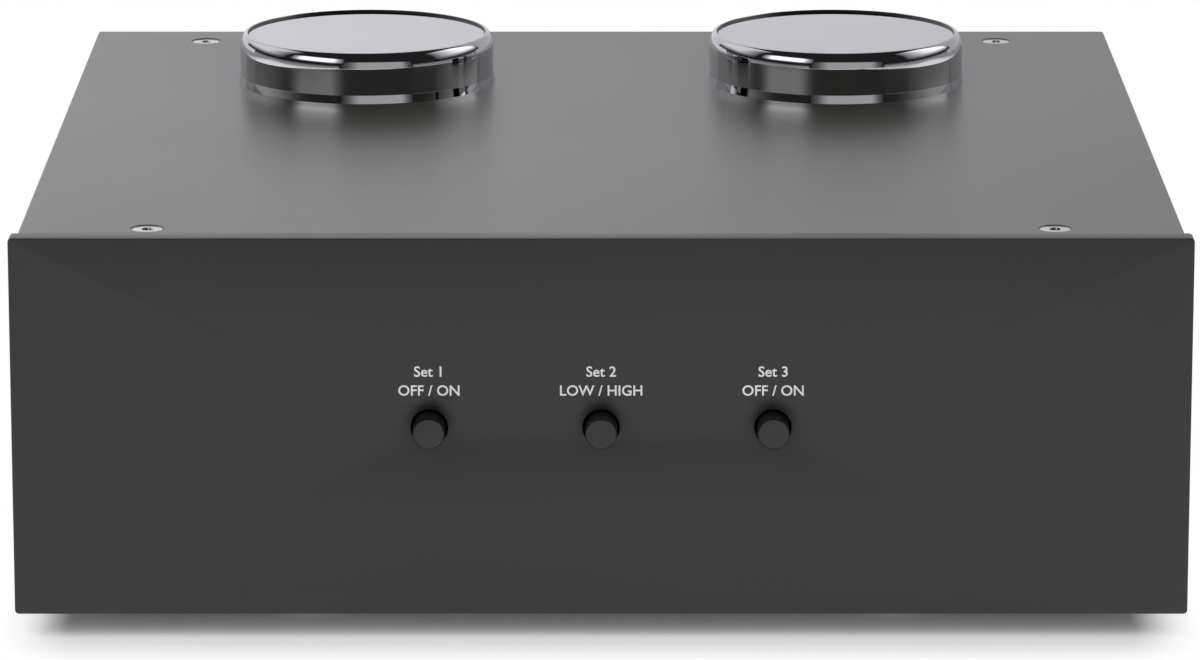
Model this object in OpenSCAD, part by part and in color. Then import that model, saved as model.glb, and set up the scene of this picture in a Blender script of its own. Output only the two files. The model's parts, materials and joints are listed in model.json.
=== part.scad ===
// Moving coil step-up box: a free-standing audio case with three push buttons
// on its front panel, two round transformer caps on its lid and its sockets on
// the rear panel. Z is up, the front faces -Y, and the feet stand on Z = 0.

/* [Front panel] */
// Width of the front panel
panel_w = 206; // [200:1:230]
// Height of the front panel
panel_h = 67.5; // [63:0.5:85]
// Thickness of the front panel
panel_t = 4.5; // [3.5:0.5:8]
// Corner radius of the front panel's outline
panel_corner_r = 0.7; // [0.3:0.1:2]
// Overhang of the front panel past each side of the lid
panel_side_lip = 1.2; // [0.4:0.1:3]
// Overhang of the front panel above the lid
panel_top_lip = 0.3; // [0.1:0.1:1]
// Overhang of the front panel below the chassis
panel_bottom_lip = 0.5; // [0.1:0.1:1.5]
// Inset of the panel screws from the chassis edges at the sides
panel_screw_inset_x = 9.6; // [6:0.2:20]
// Inset of the panel screws from the top and bottom of the panel
panel_screw_inset_z = 12; // [9:0.5:20]
// Depth of the tapped holes in the back of the front panel
panel_tap_d = 3.2; // [2:0.1:3.3]

/* [Case] */
// Depth of the lid behind the front panel
lid_d = 194; // [188:1:230]
// Wall thickness of the lid
lid_t = 2; // [1.8:0.1:3]
// Radius of the lid's long upper edges
lid_edge_r = 0.5; // [0.2:0.1:1.5]
// Sheet thickness of the chassis
sheet_t = 1.5; // [1:0.1:2.5]
// Thickness of the rear panel
rear_t = 2; // [1.5:0.1:3]
// Setback of the rear panel from the lid's rear edge
rear_setback = 0.5; // [0.1:0.1:3]
// Gap between the lid's sides and what stands inside it
side_gap = 0.2; // [0.1:0.05:0.5]
// Depth of the folded flanges under the lid
lid_flange_d = 16; // [14:0.5:20]
// Height of the chassis lip behind the rear panel
lip_h = 10; // [8:0.5:13]
// Distance of the outer rear panel screws from the middle
rear_screw_x = 66; // [50:1:90]

/* [Fasteners] */
// Radius of the case screws
screw_r = 1.5; // [1.2:0.1:1.6]
// Radius of a pan screw head
head_r = 2.75; // [2.4:0.05:3]
// Height of a pan screw head
head_h = 1.8; // [1.4:0.1:2.4]
// Hexagon key size of the screws, across flats
key_af = 2; // [1.5:0.1:2.5]
// Depth of the hexagon socket in a screw head
key_d = 1.1; // [0.8:0.1:1.2]
// Length of the case screws below the head
screw_l = 6; // [5.5:0.5:8]
// Radial gap of a screw in its tapped hole
thread_gap = 0.05; // [0.03:0.01:0.1]
// Radial gap of a screw in a clearance hole
hole_gap = 0.2; // [0.15:0.05:0.4]
// Size of the case nuts across flats
nut_af = 5.5; // [5:0.1:6.5]
// Height of the case nuts
nut_h = 2.4; // [1.8:0.1:3]
// Radius of a countersink in the lid
sink_r = 3; // [2.6:0.1:3.1]
// Depth of a countersunk head below the lid's face
sink_drop = 0.15; // [0.1:0.05:0.4]
// Length of a lid screw
lid_screw_l = 8; // [6:0.5:10]
// Distance of the lid screws from the lid's sides
lid_screw_side = 22.4; // [10:0.2:35]
// Distance of the front lid screws from the lid's front edge
lid_screw_front = 5.5; // [5:0.1:10]
// Distance of the rear lid screws from the lid's rear edge
lid_screw_rear = 10.4; // [8:0.2:14]
// Radius of a press nut under the lid flanges
press_nut_r = 2.8; // [2.4:0.1:3.2]
// Height of a press nut under the lid flanges
press_nut_h = 3; // [2:0.5:4]

/* [Feet] */
// Height of the feet
foot_h = 5; // [4:0.5:12]
// Radius of the feet
foot_r = 8; // [6:0.5:11]
// Inset of the feet from the sides of the front panel
foot_inset_x = 18; // [14:1:30]
// Distance of the front feet from the front panel's face
foot_front = 30; // [24:1:50]
// Distance of the rear feet from the lid's rear edge
foot_rear = 25; // [16:1:50]
// Radius of the screw recess in a foot
foot_recess_r = 3.4; // [3.2:0.1:4]
// Rubber left between the chassis and a foot's screw head
foot_floor = 1.6; // [1:0.1:2]

/* [Buttons] */
// Radius of a push button
button_r = 2.8; // [2.75:0.05:3.4]
// Radial gap round a button in the front panel
button_gap = 0.55; // [0.3:0.05:0.8]
// Spacing of the buttons
button_pitch = 30; // [20:1:45]
// Height of a button in front of the panel
button_out = 5; // [4:0.5:8]
// Travel of a button
button_travel = 3; // [2:0.5:3.5]
// Chamfer round a button's face
button_chamfer = 0.25; // [0.1:0.05:0.5]
// Radius of a switch plunger
plunger_r = 1.9; // [1.5:0.1:1.9]
// Radial running gap of a plunger in its switch
plunger_gap = 0.05; // [0.02:0.01:0.1]
// Length of plunger held in a button
plunger_grip = 6; // [4:0.5:8]
// Length of plunger held in a switch
plunger_reach = 10; // [7:0.5:12]
// Length of a return spring at rest
spring_l = 9; // [8:0.5:12]
// Wire diameter of a return spring
spring_wire = 0.4; // [0.3:0.05:0.5]
// Number of turns of a return spring
spring_turns = 5; // [4:1:6]
// Radial gap of a return spring round its plunger
spring_gap = 0.3; // [0.2:0.05:0.4]
// Width of a switch housing
switch_w = 12; // [10:0.5:16]
// Height of a switch housing
switch_h = 10; // [8:0.5:14]
// Length of a switch housing
switch_l = 26; // [20:1:30]

/* [Transformers] */
// Distance of the caps from the middle
cap_x = 45.65; // [38:0.05:58]
// Distance of the caps from the lid's rear edge
cap_rear = 51.4; // [46:0.2:64]
// Radius of a cap's wall
cap_r = 24.7; // [24:0.1:28]
// Height of a cap above the lid
cap_h = 9.6; // [8.5:0.1:14]
// Width of a cap's rounded upper edge
cap_edge_w = 1.8; // [1:0.1:3]
// Height of a cap's rounded upper edge
cap_edge_h = 3.8; // [1:0.1:4.5]
// Width of the raised rim inside a cap's rounded edge
cap_rim = 0.4; // [0.3:0.1:1.5]
// Depth of the dish inside a cap's raised rim
cap_dish = 0.45; // [0.2:0.05:0.8]
// Spread of the foot that flares out round a cap
cap_flare = 0.45; // [0.2:0.05:0.9]
// Height of the foot that flares out round a cap
cap_flare_h = 1.3; // [1:0.1:3]
// Thickness of a cap's top under its dish
cap_top_t = 1.25; // [1:0.05:2]
// Radius of the spigot under a cap
spigot_r = 23.4; // [22.8:0.1:23.8]
// Radial gap of the spigot in the lid
spigot_gap = 0.1; // [0.05:0.05:0.3]
// Height of the ring nut under a cap
ring_nut_h = 3; // [2:0.5:5]
// Width of the ring nut under a cap
ring_nut_w = 3.5; // [2.5:0.5:6]
// Length of spigot below the ring nut
spigot_spare = 1; // [0.5:0.5:3]
// Outer radius of a shield can
can_r = 21; // [20.5:0.1:21.6]
// Wall thickness of a shield can
can_t = 1; // [0.8:0.1:1.2]
// Radial gap between a shield can and its cap
can_gap = 0.8; // [0.3:0.1:1]
// Inner radius of a core
core_in_r = 9; // [8:0.1:10]
// Outer radius of a core
core_out_r = 15.5; // [14:0.1:16]
// Height of a core
core_h = 28; // [20:0.5:34]
// Thickness of a winding on its core
winding_t = 2.7; // [1.5:0.1:3]
// Gap between a winding and its core
winding_gap = 0.05; // [0.03:0.01:0.1]
// Angle that each winding takes up round its core
winding_angle = 168; // [140:2:172]
// Thickness of a rubber pad under and over a core
pad_t = 2; // [1:0.5:3]
// Thickness of the washer that clamps a core
clamp_washer_t = 2; // [1:0.5:3]
// Radius of a transformer's clamp bolt
clamp_r = 2.5; // [2:0.1:3]
// Size of a clamp bolt's nuts across flats
clamp_af = 8; // [7:0.5:10]
// Height of a clamp bolt's nuts
clamp_nut_h = 3.2; // [2.5:0.1:4]
// Radius of a clamp bolt's head
clamp_head_r = 4.2; // [4:0.1:6]
// Height of a clamp bolt's head
clamp_head_h = 2.4; // [1.5:0.1:3]
// Length of clamp bolt beyond its upper nut
clamp_spare = 1; // [0.5:0.1:2]
// Radius of a transformer's lead
lead_r = 1.5; // [1:0.1:2]
// Height of a lead above the chassis
lead_rise = 8; // [6:0.5:12]
// Bend radius of a lead
lead_bend_r = 6; // [5:0.5:10]
// Gap between a lead and the windings
lead_gap = 0.3; // [0.1:0.1:0.5]
// Wall of the grommet round a lead
grommet_t = 1; // [0.6:0.1:1.5]
// Length of grommet on each side of the can's wall
grommet_out = 1; // [0.5:0.1:1.4]

/* [Boards] */
// Thickness of the circuit boards
board_t = 1.6; // [1:0.2:2.4]
// Width of the switch board
board_w = 114; // [104:1:130]
// Depth of the switch board
board_d = 52; // [46:1:66]
// Distance of the switch board from the front panel
board_y = 4; // [3:0.5:8]
// Inset of the pillars from the sides of the switch board
pillar_inset_x = 5; // [4:0.5:8]
// Inset of the pillars from the front and rear of the switch board
pillar_inset_y = 10; // [8:0.5:14]
// Width of a ribbon header
header_w = 24; // [22:0.5:30]
// Thickness of a ribbon header
header_t = 6; // [5:0.5:8]
// Height of a ribbon header off its board
header_h = 9; // [7:0.5:11]
// Width of the ribbon cable
ribbon_w = 20; // [12:0.5:21]
// Thickness of the ribbon cable
ribbon_t = 0.9; // [0.6:0.1:1.2]
// Bend radius of the ribbon cable
ribbon_bend_r = 5; // [3:0.5:8]
// Straight rise of the ribbon cable over its front header
ribbon_rise = 3; // [1:0.5:6]
// Distance of the front header and the leads from the board's rear edge
board_edge = 3; // [2.5:0.5:5]

/* [Balanced sockets] */
// Distance of the outer balanced sockets from the lid's sides
balanced_side = 19.8; // [16:0.1:22]
// Spacing of two balanced sockets
balanced_pitch = 29; // [27:0.5:31]
// Width of a socket's flange
flange_w = 26; // [25:0.5:27]
// Height of a socket's flange
flange_h = 31; // [31:0.5:34]
// Thickness of a socket's flange
flange_t = 2.2; // [1.5:0.1:3]
// Corner radius of a socket's flange
flange_corner_r = 2.5; // [1:0.1:4]
// Sideways spacing of a socket's screws
flange_screw_w = 19; // [18.6:0.2:20]
// Upright spacing of a socket's screws
flange_screw_h = 24; // [23:0.2:25]
// Outer radius of a socket's shell
shell_r = 11.6; // [11.2:0.1:11.8]
// Inner radius of a socket's shell
shell_bore_r = 9.6; // [9:0.1:9.8]
// Depth of a socket behind the rear panel's outer face
shell_d = 20; // [18:0.5:21]
// Radial gap of a shell in the rear panel
shell_gap = 0.2; // [0.1:0.05:0.3]
// Radial gap of an insert in its shell
insert_gap = 0.05; // [0.03:0.01:0.1]
// Length of the insert that fills the shell
insert_base = 7; // [5:0.5:9]
// Radius of an input insert's nose
nose_r = 7.8; // [7:0.1:8]
// Depth of the nose behind the flange's face
nose_drop = 1; // [0.5:0.1:2]
// Radius of the circle of contacts
contact_ring_r = 4; // [3.6:0.1:4.4]
// Radius of a contact pin
pin_r = 1.2; // [1:0.05:1.3]
// Depth of a pin's tip behind the flange's face
pin_drop = 2.5; // [1:0.1:4]
// Wall of a contact tube
contact_wall = 0.3; // [0.2:0.05:0.4]
// Depth of a contact tube's bore
contact_bore_d = 11; // [8:0.5:13]
// Radial gap of a plug's pin in a contact tube
contact_gap = 0.05; // [0.03:0.01:0.1]
// Width of a latch
latch_w = 8; // [6:0.5:9]
// Thickness of a latch
latch_t = 2.2; // [1.6:0.1:2.4]
// Height of a latch in front of its flange
latch_out = 2.5; // [2:0.1:4]
// Travel of a latch
latch_travel = 1.5; // [1:0.1:1.8]
// Length of latch behind the flange's face
latch_l = 10; // [8:0.5:12]
// Sliding gap round a latch
latch_gap = 0.1; // [0.05:0.01:0.15]
// Wall round a latch's channel
latch_wall = 0.9; // [0.7:0.1:1.2]

/* [Phono sockets] */
// Distance of the phono sockets from the inner balanced sockets
phono_step = 29; // [23:0.5:33]
// Upright spacing of two phono sockets
phono_pitch = 22; // [18:0.5:30]
// Outer radius of a phono barrel
phono_r = 4.15; // [4:0.05:4.2]
// Length of a phono barrel
phono_l = 9.5; // [8:0.5:11]
// Radius of a phono socket's collar
phono_collar_r = 6; // [5.5:0.1:6.5]
// Thickness of a phono socket's collar
phono_collar_t = 1.5; // [1:0.1:2.5]
// Radius of the coloured insulating ring
phono_ring_r = 6.6; // [6.2:0.1:7.5]
// Thickness of the insulating rings
phono_ring_t = 1.5; // [1:0.1:2]
// Radius of a phono socket's threaded tail
phono_tail_r = 3.8; // [3.6:0.1:3.95]
// Length of thread behind the nut
phono_spare = 2; // [1:0.5:4]
// Wall of the insulating bush in the rear panel
phono_bush_t = 1; // [0.8:0.1:1.4]
// Size of a phono nut across flats
phono_nut_af = 11; // [10:0.5:12]
// Height of a phono nut
phono_nut_h = 2.5; // [2:0.1:3]
// Inner radius of a phono barrel
phono_bore_r = 3.1; // [2.9:0.05:3.2]
// Depth of the plastic core behind a phono barrel's end
phono_core_drop = 0.6; // [0.3:0.1:1.5]
// Outer radius of a phono centre contact
phono_contact_r = 2.05; // [2:0.05:2.3]
// Inner radius of a phono centre contact
phono_contact_bore_r = 1.65; // [1.6:0.01:1.7]
// Depth of a phono centre contact's bore
phono_contact_d = 9; // [8:0.5:10]
// Radial gap between the nested pieces of a phono socket
phono_gap = 0.05; // [0.03:0.01:0.1]
// Radius of a contact's tail behind the rear panel
tail_r = 0.8; // [0.5:0.1:1]

/* [Ground terminal] */
// Radius of the ground stud
ground_r = 2; // [1.8:0.1:2.5]
// Radius of the ground stud's collar
ground_collar_r = 5; // [4.5:0.1:6]
// Height of the ground stud's collar
ground_collar_h = 3; // [2:0.1:5]
// Radius of the ground washer
ground_washer_r = 5.5; // [5:0.1:6.5]
// Thickness of the ground washer
ground_washer_t = 1; // [0.6:0.1:2]
// Radius of the ground thumb nut
thumb_r = 6; // [5:0.1:7.5]
// Height of the ground thumb nut
thumb_h = 8; // [6:0.5:10]
// Radial running gap of the washer and nut on the ground stud
ground_gap = 0.05; // [0.03:0.01:0.1]
// Length of ground stud beyond the thumb nut
ground_spare = 3.5; // [3:0.5:6]
// Size of the ground lock nut across flats
ground_nut_af = 7; // [6.5:0.5:9]
// Height of the ground lock nut
ground_nut_h = 3.2; // [2.5:0.1:4]
// Length of ground stud behind the lock nut
ground_inner_spare = 3; // [1:0.5:6]

/* [Hidden] */
$fn = 64;
// Overlap of cuts past the faces that they open
cut = 0.5;
// Sides of a hexagon
hexagon = 6;
// The two sides of the box
sides = [-1, 1];

// Levels of the case, from the floor up
base_z = foot_h;
floor_z = base_z + sheet_t;
panel_z0 = base_z - panel_bottom_lip;
panel_z1 = panel_z0 + panel_h;
lid_z = panel_z1 - panel_top_lip;
lid_under = lid_z - lid_t;
button_z = panel_z0 + panel_h / 2;
socket_z = (base_z + lid_under) / 2;

// Places along the depth of the case, from the front back
phono_out = phono_ring_t + phono_collar_t + phono_l;
ground_out = ground_collar_h + ground_washer_t + thumb_h + ground_spare;
rear_reach = max(phono_out, ground_out) - rear_setback;
face_y = button_out - (button_out + panel_t + lid_d + rear_reach) / 2;
back_y = face_y + panel_t;
rear_edge_y = back_y + lid_d;
rear_y = rear_edge_y - rear_setback;
rear_in_y = rear_y - rear_t;
front_in_y = back_y + sheet_t;
lid_screw_y = [back_y + lid_screw_front, rear_edge_y - lid_screw_rear];
foot_y = [face_y + foot_front, rear_edge_y - foot_rear];
cap_cy = rear_edge_y - cap_rear;

// Widths of the case
lid_w = panel_w - 2 * panel_side_lip;
inner_half = lid_w / 2 - lid_t - side_gap;
lid_screw_x = lid_w / 2 - lid_screw_side;
foot_x = panel_w / 2 - foot_inset_x;
panel_screw_x = inner_half - panel_screw_inset_x;
panel_screw_z = [panel_z0 + panel_screw_inset_z, panel_z1 - panel_screw_inset_z];
rear_screw_z = floor_z + lip_h / 2;

// Holes for the case screws
tap_r = screw_r + thread_gap;
pass_r = screw_r + hole_gap;
sink_head_r = sink_r - sink_drop - thread_gap;

// Buttons, plungers and switches
button_x = [-button_pitch, 0, button_pitch];
button_hole_r = button_r + button_gap;
button_face_y = face_y - button_out;
button_end_y = front_in_y + button_travel;
switch_y = button_end_y + spring_l;
plunger_end_y = switch_y + plunger_reach;
board_top = button_z - switch_h / 2;
board_under = board_top - board_t;
board_y0 = back_y + board_y;
board_y1 = board_y0 + board_d;
pillar_x = board_w / 2 - pillar_inset_x;
pillar_y = [board_y0 + pillar_inset_y, board_y1 - pillar_inset_y];

// Centre line of a return spring
spring_r = plunger_r + spring_gap + spring_wire / 2;
spring_y0 = button_end_y + spring_wire / 2 + thread_gap;
spring_y1 = switch_y - spring_wire / 2 - thread_gap;
spring_pitch = (spring_y1 - spring_y0) / spring_turns;
spring_steps = 12;
spring_sides = 6;
spring_path = [
    for (i = [0 : spring_turns * spring_steps])
        let (turn = i / spring_steps)
            [spring_r * cos(360 * turn), spring_y0 + spring_pitch * turn, spring_r * sin(360 * turn)]
];
spring_least_gap = min([
    for (i = [0 : len(spring_path) - 1 - spring_steps])
        norm(spring_path[i + spring_steps] - spring_path[i])
]) - spring_wire;
echo(spring_least_gap = spring_least_gap);

// Transformers
cap_z = lid_z + cap_h;
cap_flare_r = (cap_flare * cap_flare + cap_flare_h * cap_flare_h) / (2 * cap_flare);
cap_inner_r = can_r + can_gap;
cap_dish_r = cap_r - cap_edge_w - cap_rim;
cap_roof = cap_z - cap_dish - cap_top_t;
spigot_z = lid_under - ring_nut_h - spigot_spare;
can_z1 = cap_roof - 2 * clamp_spare - clamp_nut_h;
clamp_end_z = can_z1 + clamp_nut_h + clamp_spare;
winding_out_r = core_out_r + winding_t;
winding_in_r = core_in_r - winding_t;
pad_z = floor_z + pad_t;
core_z = pad_z + winding_t;
upper_pad_z = core_z + core_h + winding_t;
clamp_washer_z = upper_pad_z + pad_t;
clamp_nut_z = clamp_washer_z + clamp_washer_t;
lead_z = floor_z + lead_rise;
lead_y1 = cap_cy - winding_out_r - lead_gap;
lead_y0 = board_y1 - board_edge;
grommet_r = lead_r + thread_gap + grommet_t;

// Sockets on the rear panel
balanced_outer_x = lid_w / 2 - balanced_side;
balanced_inner_x = balanced_outer_x - balanced_pitch;
balanced_in_x = [-balanced_outer_x, -balanced_inner_x];
balanced_out_x = [balanced_inner_x, balanced_outer_x];
phono_x = balanced_inner_x - phono_step;
phono_z = [socket_z - phono_pitch / 2, socket_z + phono_pitch / 2];
flange_y = rear_y + flange_t;
shell_y0 = rear_y - shell_d;
insert_y = shell_y0 + insert_base;
contact_r = pin_r + contact_gap + contact_wall;
contact_angles = [30, 150, 270];
latch_z = shell_r + latch_gap + latch_t / 2;
latch_block_half = latch_w / 2 + latch_gap + latch_wall;
latch_block_h = latch_z + latch_t / 2 + latch_gap + latch_wall;
latch_end_y = flange_y - latch_l;
latch_block_y = latch_end_y - latch_travel - latch_wall;
phono_collar_y = rear_y + phono_ring_t;
phono_barrel_y = phono_collar_y + phono_collar_t;
phono_end_y = rear_y + phono_out;
phono_nut_y = rear_in_y - phono_ring_t;
phono_tail_y = phono_nut_y - phono_nut_h - phono_spare;
phono_bush_r = phono_tail_r + phono_gap + phono_bush_t;
ground_end_y = rear_y + ground_out;
ground_washer_y = rear_y + ground_collar_h;
thumb_y = ground_washer_y + ground_washer_t;
ground_nut_y = rear_in_y - ground_nut_h;

// Rear board and ribbon cable
socket_board_y = shell_y0 - board_t;
socket_board_half = balanced_outer_x + shell_r;
socket_board_z = [socket_z - flange_h / 2, socket_z + flange_h / 2];
ribbon_y = board_y1 - board_edge - header_t / 2;
ribbon_bottom = board_top + header_h;
ribbon_z = ribbon_bottom + ribbon_rise + ribbon_bend_r;
rear_header_y = socket_board_y - header_h;

// Colours
black = "#3a3a3c";
dark = "#2b2b2d";
silver = "#c9cacd";
chrome = "#dcdde2";
gold = "#d2a94e";
copper = "#b4682e";
green = "#1f5a3a";

// Box between two corners
module slab(low, high) {
    translate(low) cube(high - low);
}

// Rod along Y from y0 to y1
module rod_y(r, y0, y1) {
    translate([0, y0, 0]) rotate([-90, 0, 0]) cylinder(r = r, h = y1 - y0);
}

// Rod along Z from z0 to z1
module rod_z(r, z0, z1) {
    translate([0, 0, z0]) cylinder(r = r, h = z1 - z0);
}

// Hexagon bar along Z from z0 to z1
module hex_z(af, z0, z1) {
    translate([0, 0, z0]) cylinder(d = af / cos(30), h = z1 - z0, $fn = hexagon);
}

// Turns what is built along Z with its head up to lie along Y with its head at the rear
module to_rear() {
    rotate([-90, 0, 0]) children();
}

// Rectangle with round corners, centred
module round_rectangle(w, h, r) {
    square([w - 2 * r, h], center = true);
    square([w, h - 2 * r], center = true);
    for (x = sides, y = sides)
        translate([x * (w / 2 - r), y * (h / 2 - r)]) circle(r = r);
}

// Upright plate with round corners between y0 and y1, centred on X and Z
module round_plate(w, h, r, y0, y1) {
    translate([0, y1, 0]) rotate([90, 0, 0]) linear_extrude(y1 - y0) round_rectangle(w, h, r);
}

// Pan screw that stands on Z = 0, shank down
module pan_screw(length) {
    difference() {
        union() {
            rod_z(head_r, 0, head_h);
            rod_z(screw_r, -length, 0);
        }
        hex_z(key_af, head_h - key_d, head_h + cut);
    }
}

// Countersunk screw whose head lies level with Z = 0, shank down
module sunk_screw(length) {
    cone_h = sink_head_r - screw_r;
    difference() {
        union() {
            translate([0, 0, -cone_h]) cylinder(r1 = screw_r, r2 = sink_head_r, h = cone_h);
            rod_z(screw_r, -length, -cone_h);
        }
        hex_z(key_af, -key_d, cut);
    }
}

// Hexagon nut on Z = 0
module nut(af, h, r) {
    difference() {
        hex_z(af, 0, h);
        rod_z(r, -cut, h + cut);
    }
}

// Flat ring along Y
module ring_y(outer, inner, y0, y1) {
    difference() {
        rod_y(outer, y0, y1);
        rod_y(inner, y0 - cut, y1 + cut);
    }
}

// Flat ring along Z
module ring_z(outer, inner, z0, z1) {
    difference() {
        rod_z(outer, z0, z1);
        rod_z(inner, z0 - cut, z1 + cut);
    }
}

// Places of pieces that repeat
module at_lid_screws(z) {
    for (x = sides, y = lid_screw_y) translate([x * lid_screw_x, y, z]) children();
}

module at_feet(z) {
    for (x = sides, y = foot_y) translate([x * foot_x, y, z]) children();
}

module at_pillars(z) {
    for (x = sides, y = pillar_y) translate([x * pillar_x, y, z]) children();
}

module at_panel_screws(y) {
    for (x = sides, z = panel_screw_z) translate([x * panel_screw_x, y, z]) children();
}

module at_rear_screws(y) {
    for (x = [-rear_screw_x, 0, rear_screw_x]) translate([x, y, rear_screw_z]) children();
}

module at_buttons() {
    for (x = button_x) translate([x, 0, button_z]) children();
}

module at_transformers() {
    for (side = sides) translate([side * cap_x, cap_cy, 0]) children();
}

module at_sockets(places) {
    for (x = places) translate([x, 0, socket_z]) children();
}

module at_contacts() {
    for (a = contact_angles)
        translate([contact_ring_r * cos(a), 0, contact_ring_r * sin(a)]) children();
}

module at_flange_screws(y) {
    for (side = sides)
        translate([side * flange_screw_w / 2, y, -side * flange_screw_h / 2]) children();
}

module at_phono(z_places) {
    for (x = sides, z = z_places) translate([x * phono_x, 0, z]) children();
}

// Front panel with button holes and blind tapped holes in its back
module front_panel() {
    color(black) difference() {
        translate([0, 0, button_z]) round_plate(panel_w, panel_h, panel_corner_r, face_y, back_y);
        at_buttons() rod_y(button_hole_r, face_y - cut, back_y + cut);
        at_panel_screws(0) rod_y(tap_r, back_y - panel_tap_d, back_y + cut);
    }
}

// Cross section of the lid: top and two sides
module lid_section() {
    difference() {
        union() {
            translate([-lid_w / 2, base_z]) square([lid_w, lid_z - base_z - lid_edge_r]);
            translate([lid_edge_r - lid_w / 2, base_z]) square([lid_w - 2 * lid_edge_r, lid_z - base_z]);
            for (x = sides)
                translate([x * (lid_w / 2 - lid_edge_r), lid_z - lid_edge_r]) circle(r = lid_edge_r);
        }
        translate([lid_t - lid_w / 2, base_z - cut])
            square([lid_w - 2 * lid_t, lid_under - base_z + cut]);
    }
}

// Lid with the cap openings and countersunk screw holes
module top_cover() {
    color(black) difference() {
        translate([0, rear_edge_y, 0]) rotate([90, 0, 0]) linear_extrude(lid_d) lid_section();
        at_transformers() rod_z(spigot_r + spigot_gap, lid_under - cut, lid_z + cut);
        at_lid_screws(lid_z) {
            rod_z(pass_r, -lid_t - cut, cut);
            translate([0, 0, pass_r - sink_r]) cylinder(r1 = pass_r, r2 = sink_r, h = sink_r - pass_r);
        }
    }
}

// Folded chassis: floor, front wall with its lid flange, and rear lip
module chassis() {
    color(dark) difference() {
        union() {
            slab([-inner_half, back_y, base_z], [inner_half, rear_in_y, floor_z]);
            slab([-inner_half, back_y, base_z], [inner_half, front_in_y, lid_under]);
            slab([-inner_half, back_y, lid_under - sheet_t], [inner_half, back_y + lid_flange_d, lid_under]);
            slab([-inner_half, rear_in_y - sheet_t, base_z], [inner_half, rear_in_y, floor_z + lip_h]);
        }
        at_buttons() rod_y(button_hole_r + button_gap, back_y - cut, front_in_y + cut);
        at_panel_screws(0) rod_y(pass_r, back_y - cut, front_in_y + cut);
        at_rear_screws(0) rod_y(tap_r, rear_in_y - sheet_t - cut, rear_in_y + cut);
        at_feet(0) rod_z(pass_r, base_z - cut, floor_z + cut);
        at_pillars(0) rod_z(pass_r, base_z - cut, floor_z + cut);
        at_transformers() rod_z(clamp_r + hole_gap, base_z - cut, floor_z + cut);
        for (x = sides)
            translate([x * lid_screw_x, lid_screw_y[0], 0])
                rod_z(pass_r, lid_under - sheet_t - cut, lid_under + cut);
    }
}

// Opening in the rear panel for one balanced socket
module shell_opening() {
    rod_y(shell_r + shell_gap, rear_in_y - cut, rear_y + cut);
}

// Opening in the rear panel for a latch block
module latch_opening() {
    half = latch_block_half + shell_gap;
    slab([-half, rear_in_y - cut, 0], [half, rear_y + cut, latch_block_h + shell_gap]);
}

// Rear panel with its lid flange and the socket openings
module rear_panel() {
    color(dark) difference() {
        union() {
            slab([-inner_half, rear_in_y, base_z], [inner_half, rear_y, lid_under]);
            slab([-inner_half, rear_y - lid_flange_d, lid_under - rear_t], [inner_half, rear_y, lid_under]);
        }
        at_sockets(concat(balanced_in_x, balanced_out_x)) {
            shell_opening();
            at_flange_screws(0) rod_y(tap_r, rear_in_y - cut, rear_y + cut);
        }
        at_sockets(balanced_in_x) latch_opening();
        at_phono(phono_z) rod_y(phono_bush_r + phono_gap, rear_in_y - cut, rear_y + cut);
        at_sockets([0]) rod_y(ground_r + hole_gap, rear_in_y - cut, rear_y + cut);
        at_rear_screws(0) rod_y(pass_r, rear_in_y - cut, rear_y + cut);
        for (x = sides)
            translate([x * lid_screw_x, lid_screw_y[1], 0])
                rod_z(pass_r, lid_under - rear_t - cut, lid_under + cut);
    }
}

// Countersunk screws of the lid
module cover_screws() {
    color(silver) at_lid_screws(lid_z - sink_drop) sunk_screw(lid_screw_l);
}

// Press nuts under the lid flanges
module press_nuts() {
    color(silver) {
        for (x = sides)
            translate([x * lid_screw_x, lid_screw_y[0], 0])
                ring_z(press_nut_r, tap_r, lid_under - sheet_t - press_nut_h, lid_under - sheet_t);
        for (x = sides)
            translate([x * lid_screw_x, lid_screw_y[1], 0])
                ring_z(press_nut_r, tap_r, lid_under - rear_t - press_nut_h, lid_under - rear_t);
    }
}

// Screws that hold the front panel from inside
module panel_screws() {
    color(silver) at_panel_screws(front_in_y) to_rear() pan_screw(sheet_t + panel_tap_d - thread_gap);
}

// Screws that hold the rear panel to the chassis lip
module rear_panel_screws() {
    color(silver) at_rear_screws(rear_y) to_rear() pan_screw(screw_l);
}

// Rubber feet with a screw recess
module feet() {
    color("#1d1d1f") at_feet(0) difference() {
        rod_z(foot_r, 0, foot_h);
        rod_z(foot_recess_r, -cut, foot_h - foot_floor);
        rod_z(pass_r, 0, foot_h + cut);
    }
}

// Screws that hold the feet
module foot_screws() {
    color(silver) at_feet(foot_h - foot_floor) mirror([0, 0, 1])
        pan_screw(foot_floor + sheet_t + nut_h);
}

// Nuts of the foot screws
module foot_nuts() {
    color(silver) at_feet(floor_z) nut(nut_af, nut_h, tap_r);
}

// Push button with a socket for its plunger
module button(index) {
    color(black) translate([button_x[index], 0, button_z]) difference() {
        union() {
            rod_y(button_r, button_face_y + button_chamfer, button_end_y);
            translate([0, button_face_y, 0]) rotate([-90, 0, 0])
                cylinder(r1 = button_r - button_chamfer, r2 = button_r, h = button_chamfer);
        }
        rod_y(plunger_r + thread_gap, button_end_y - plunger_grip, button_end_y + cut);
    }
}

module button_input() { button(0); }
module button_gain() { button(1); }
module button_output() { button(2); }

// Plunger between a button and its switch
module plunger(index) {
    color("#d8d6cf") translate([button_x[index], 0, button_z])
        rod_y(plunger_r, button_end_y - plunger_grip, plunger_end_y);
}

module plunger_input() { plunger(0); }
module plunger_gain() { plunger(1); }
module plunger_output() { plunger(2); }

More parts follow.
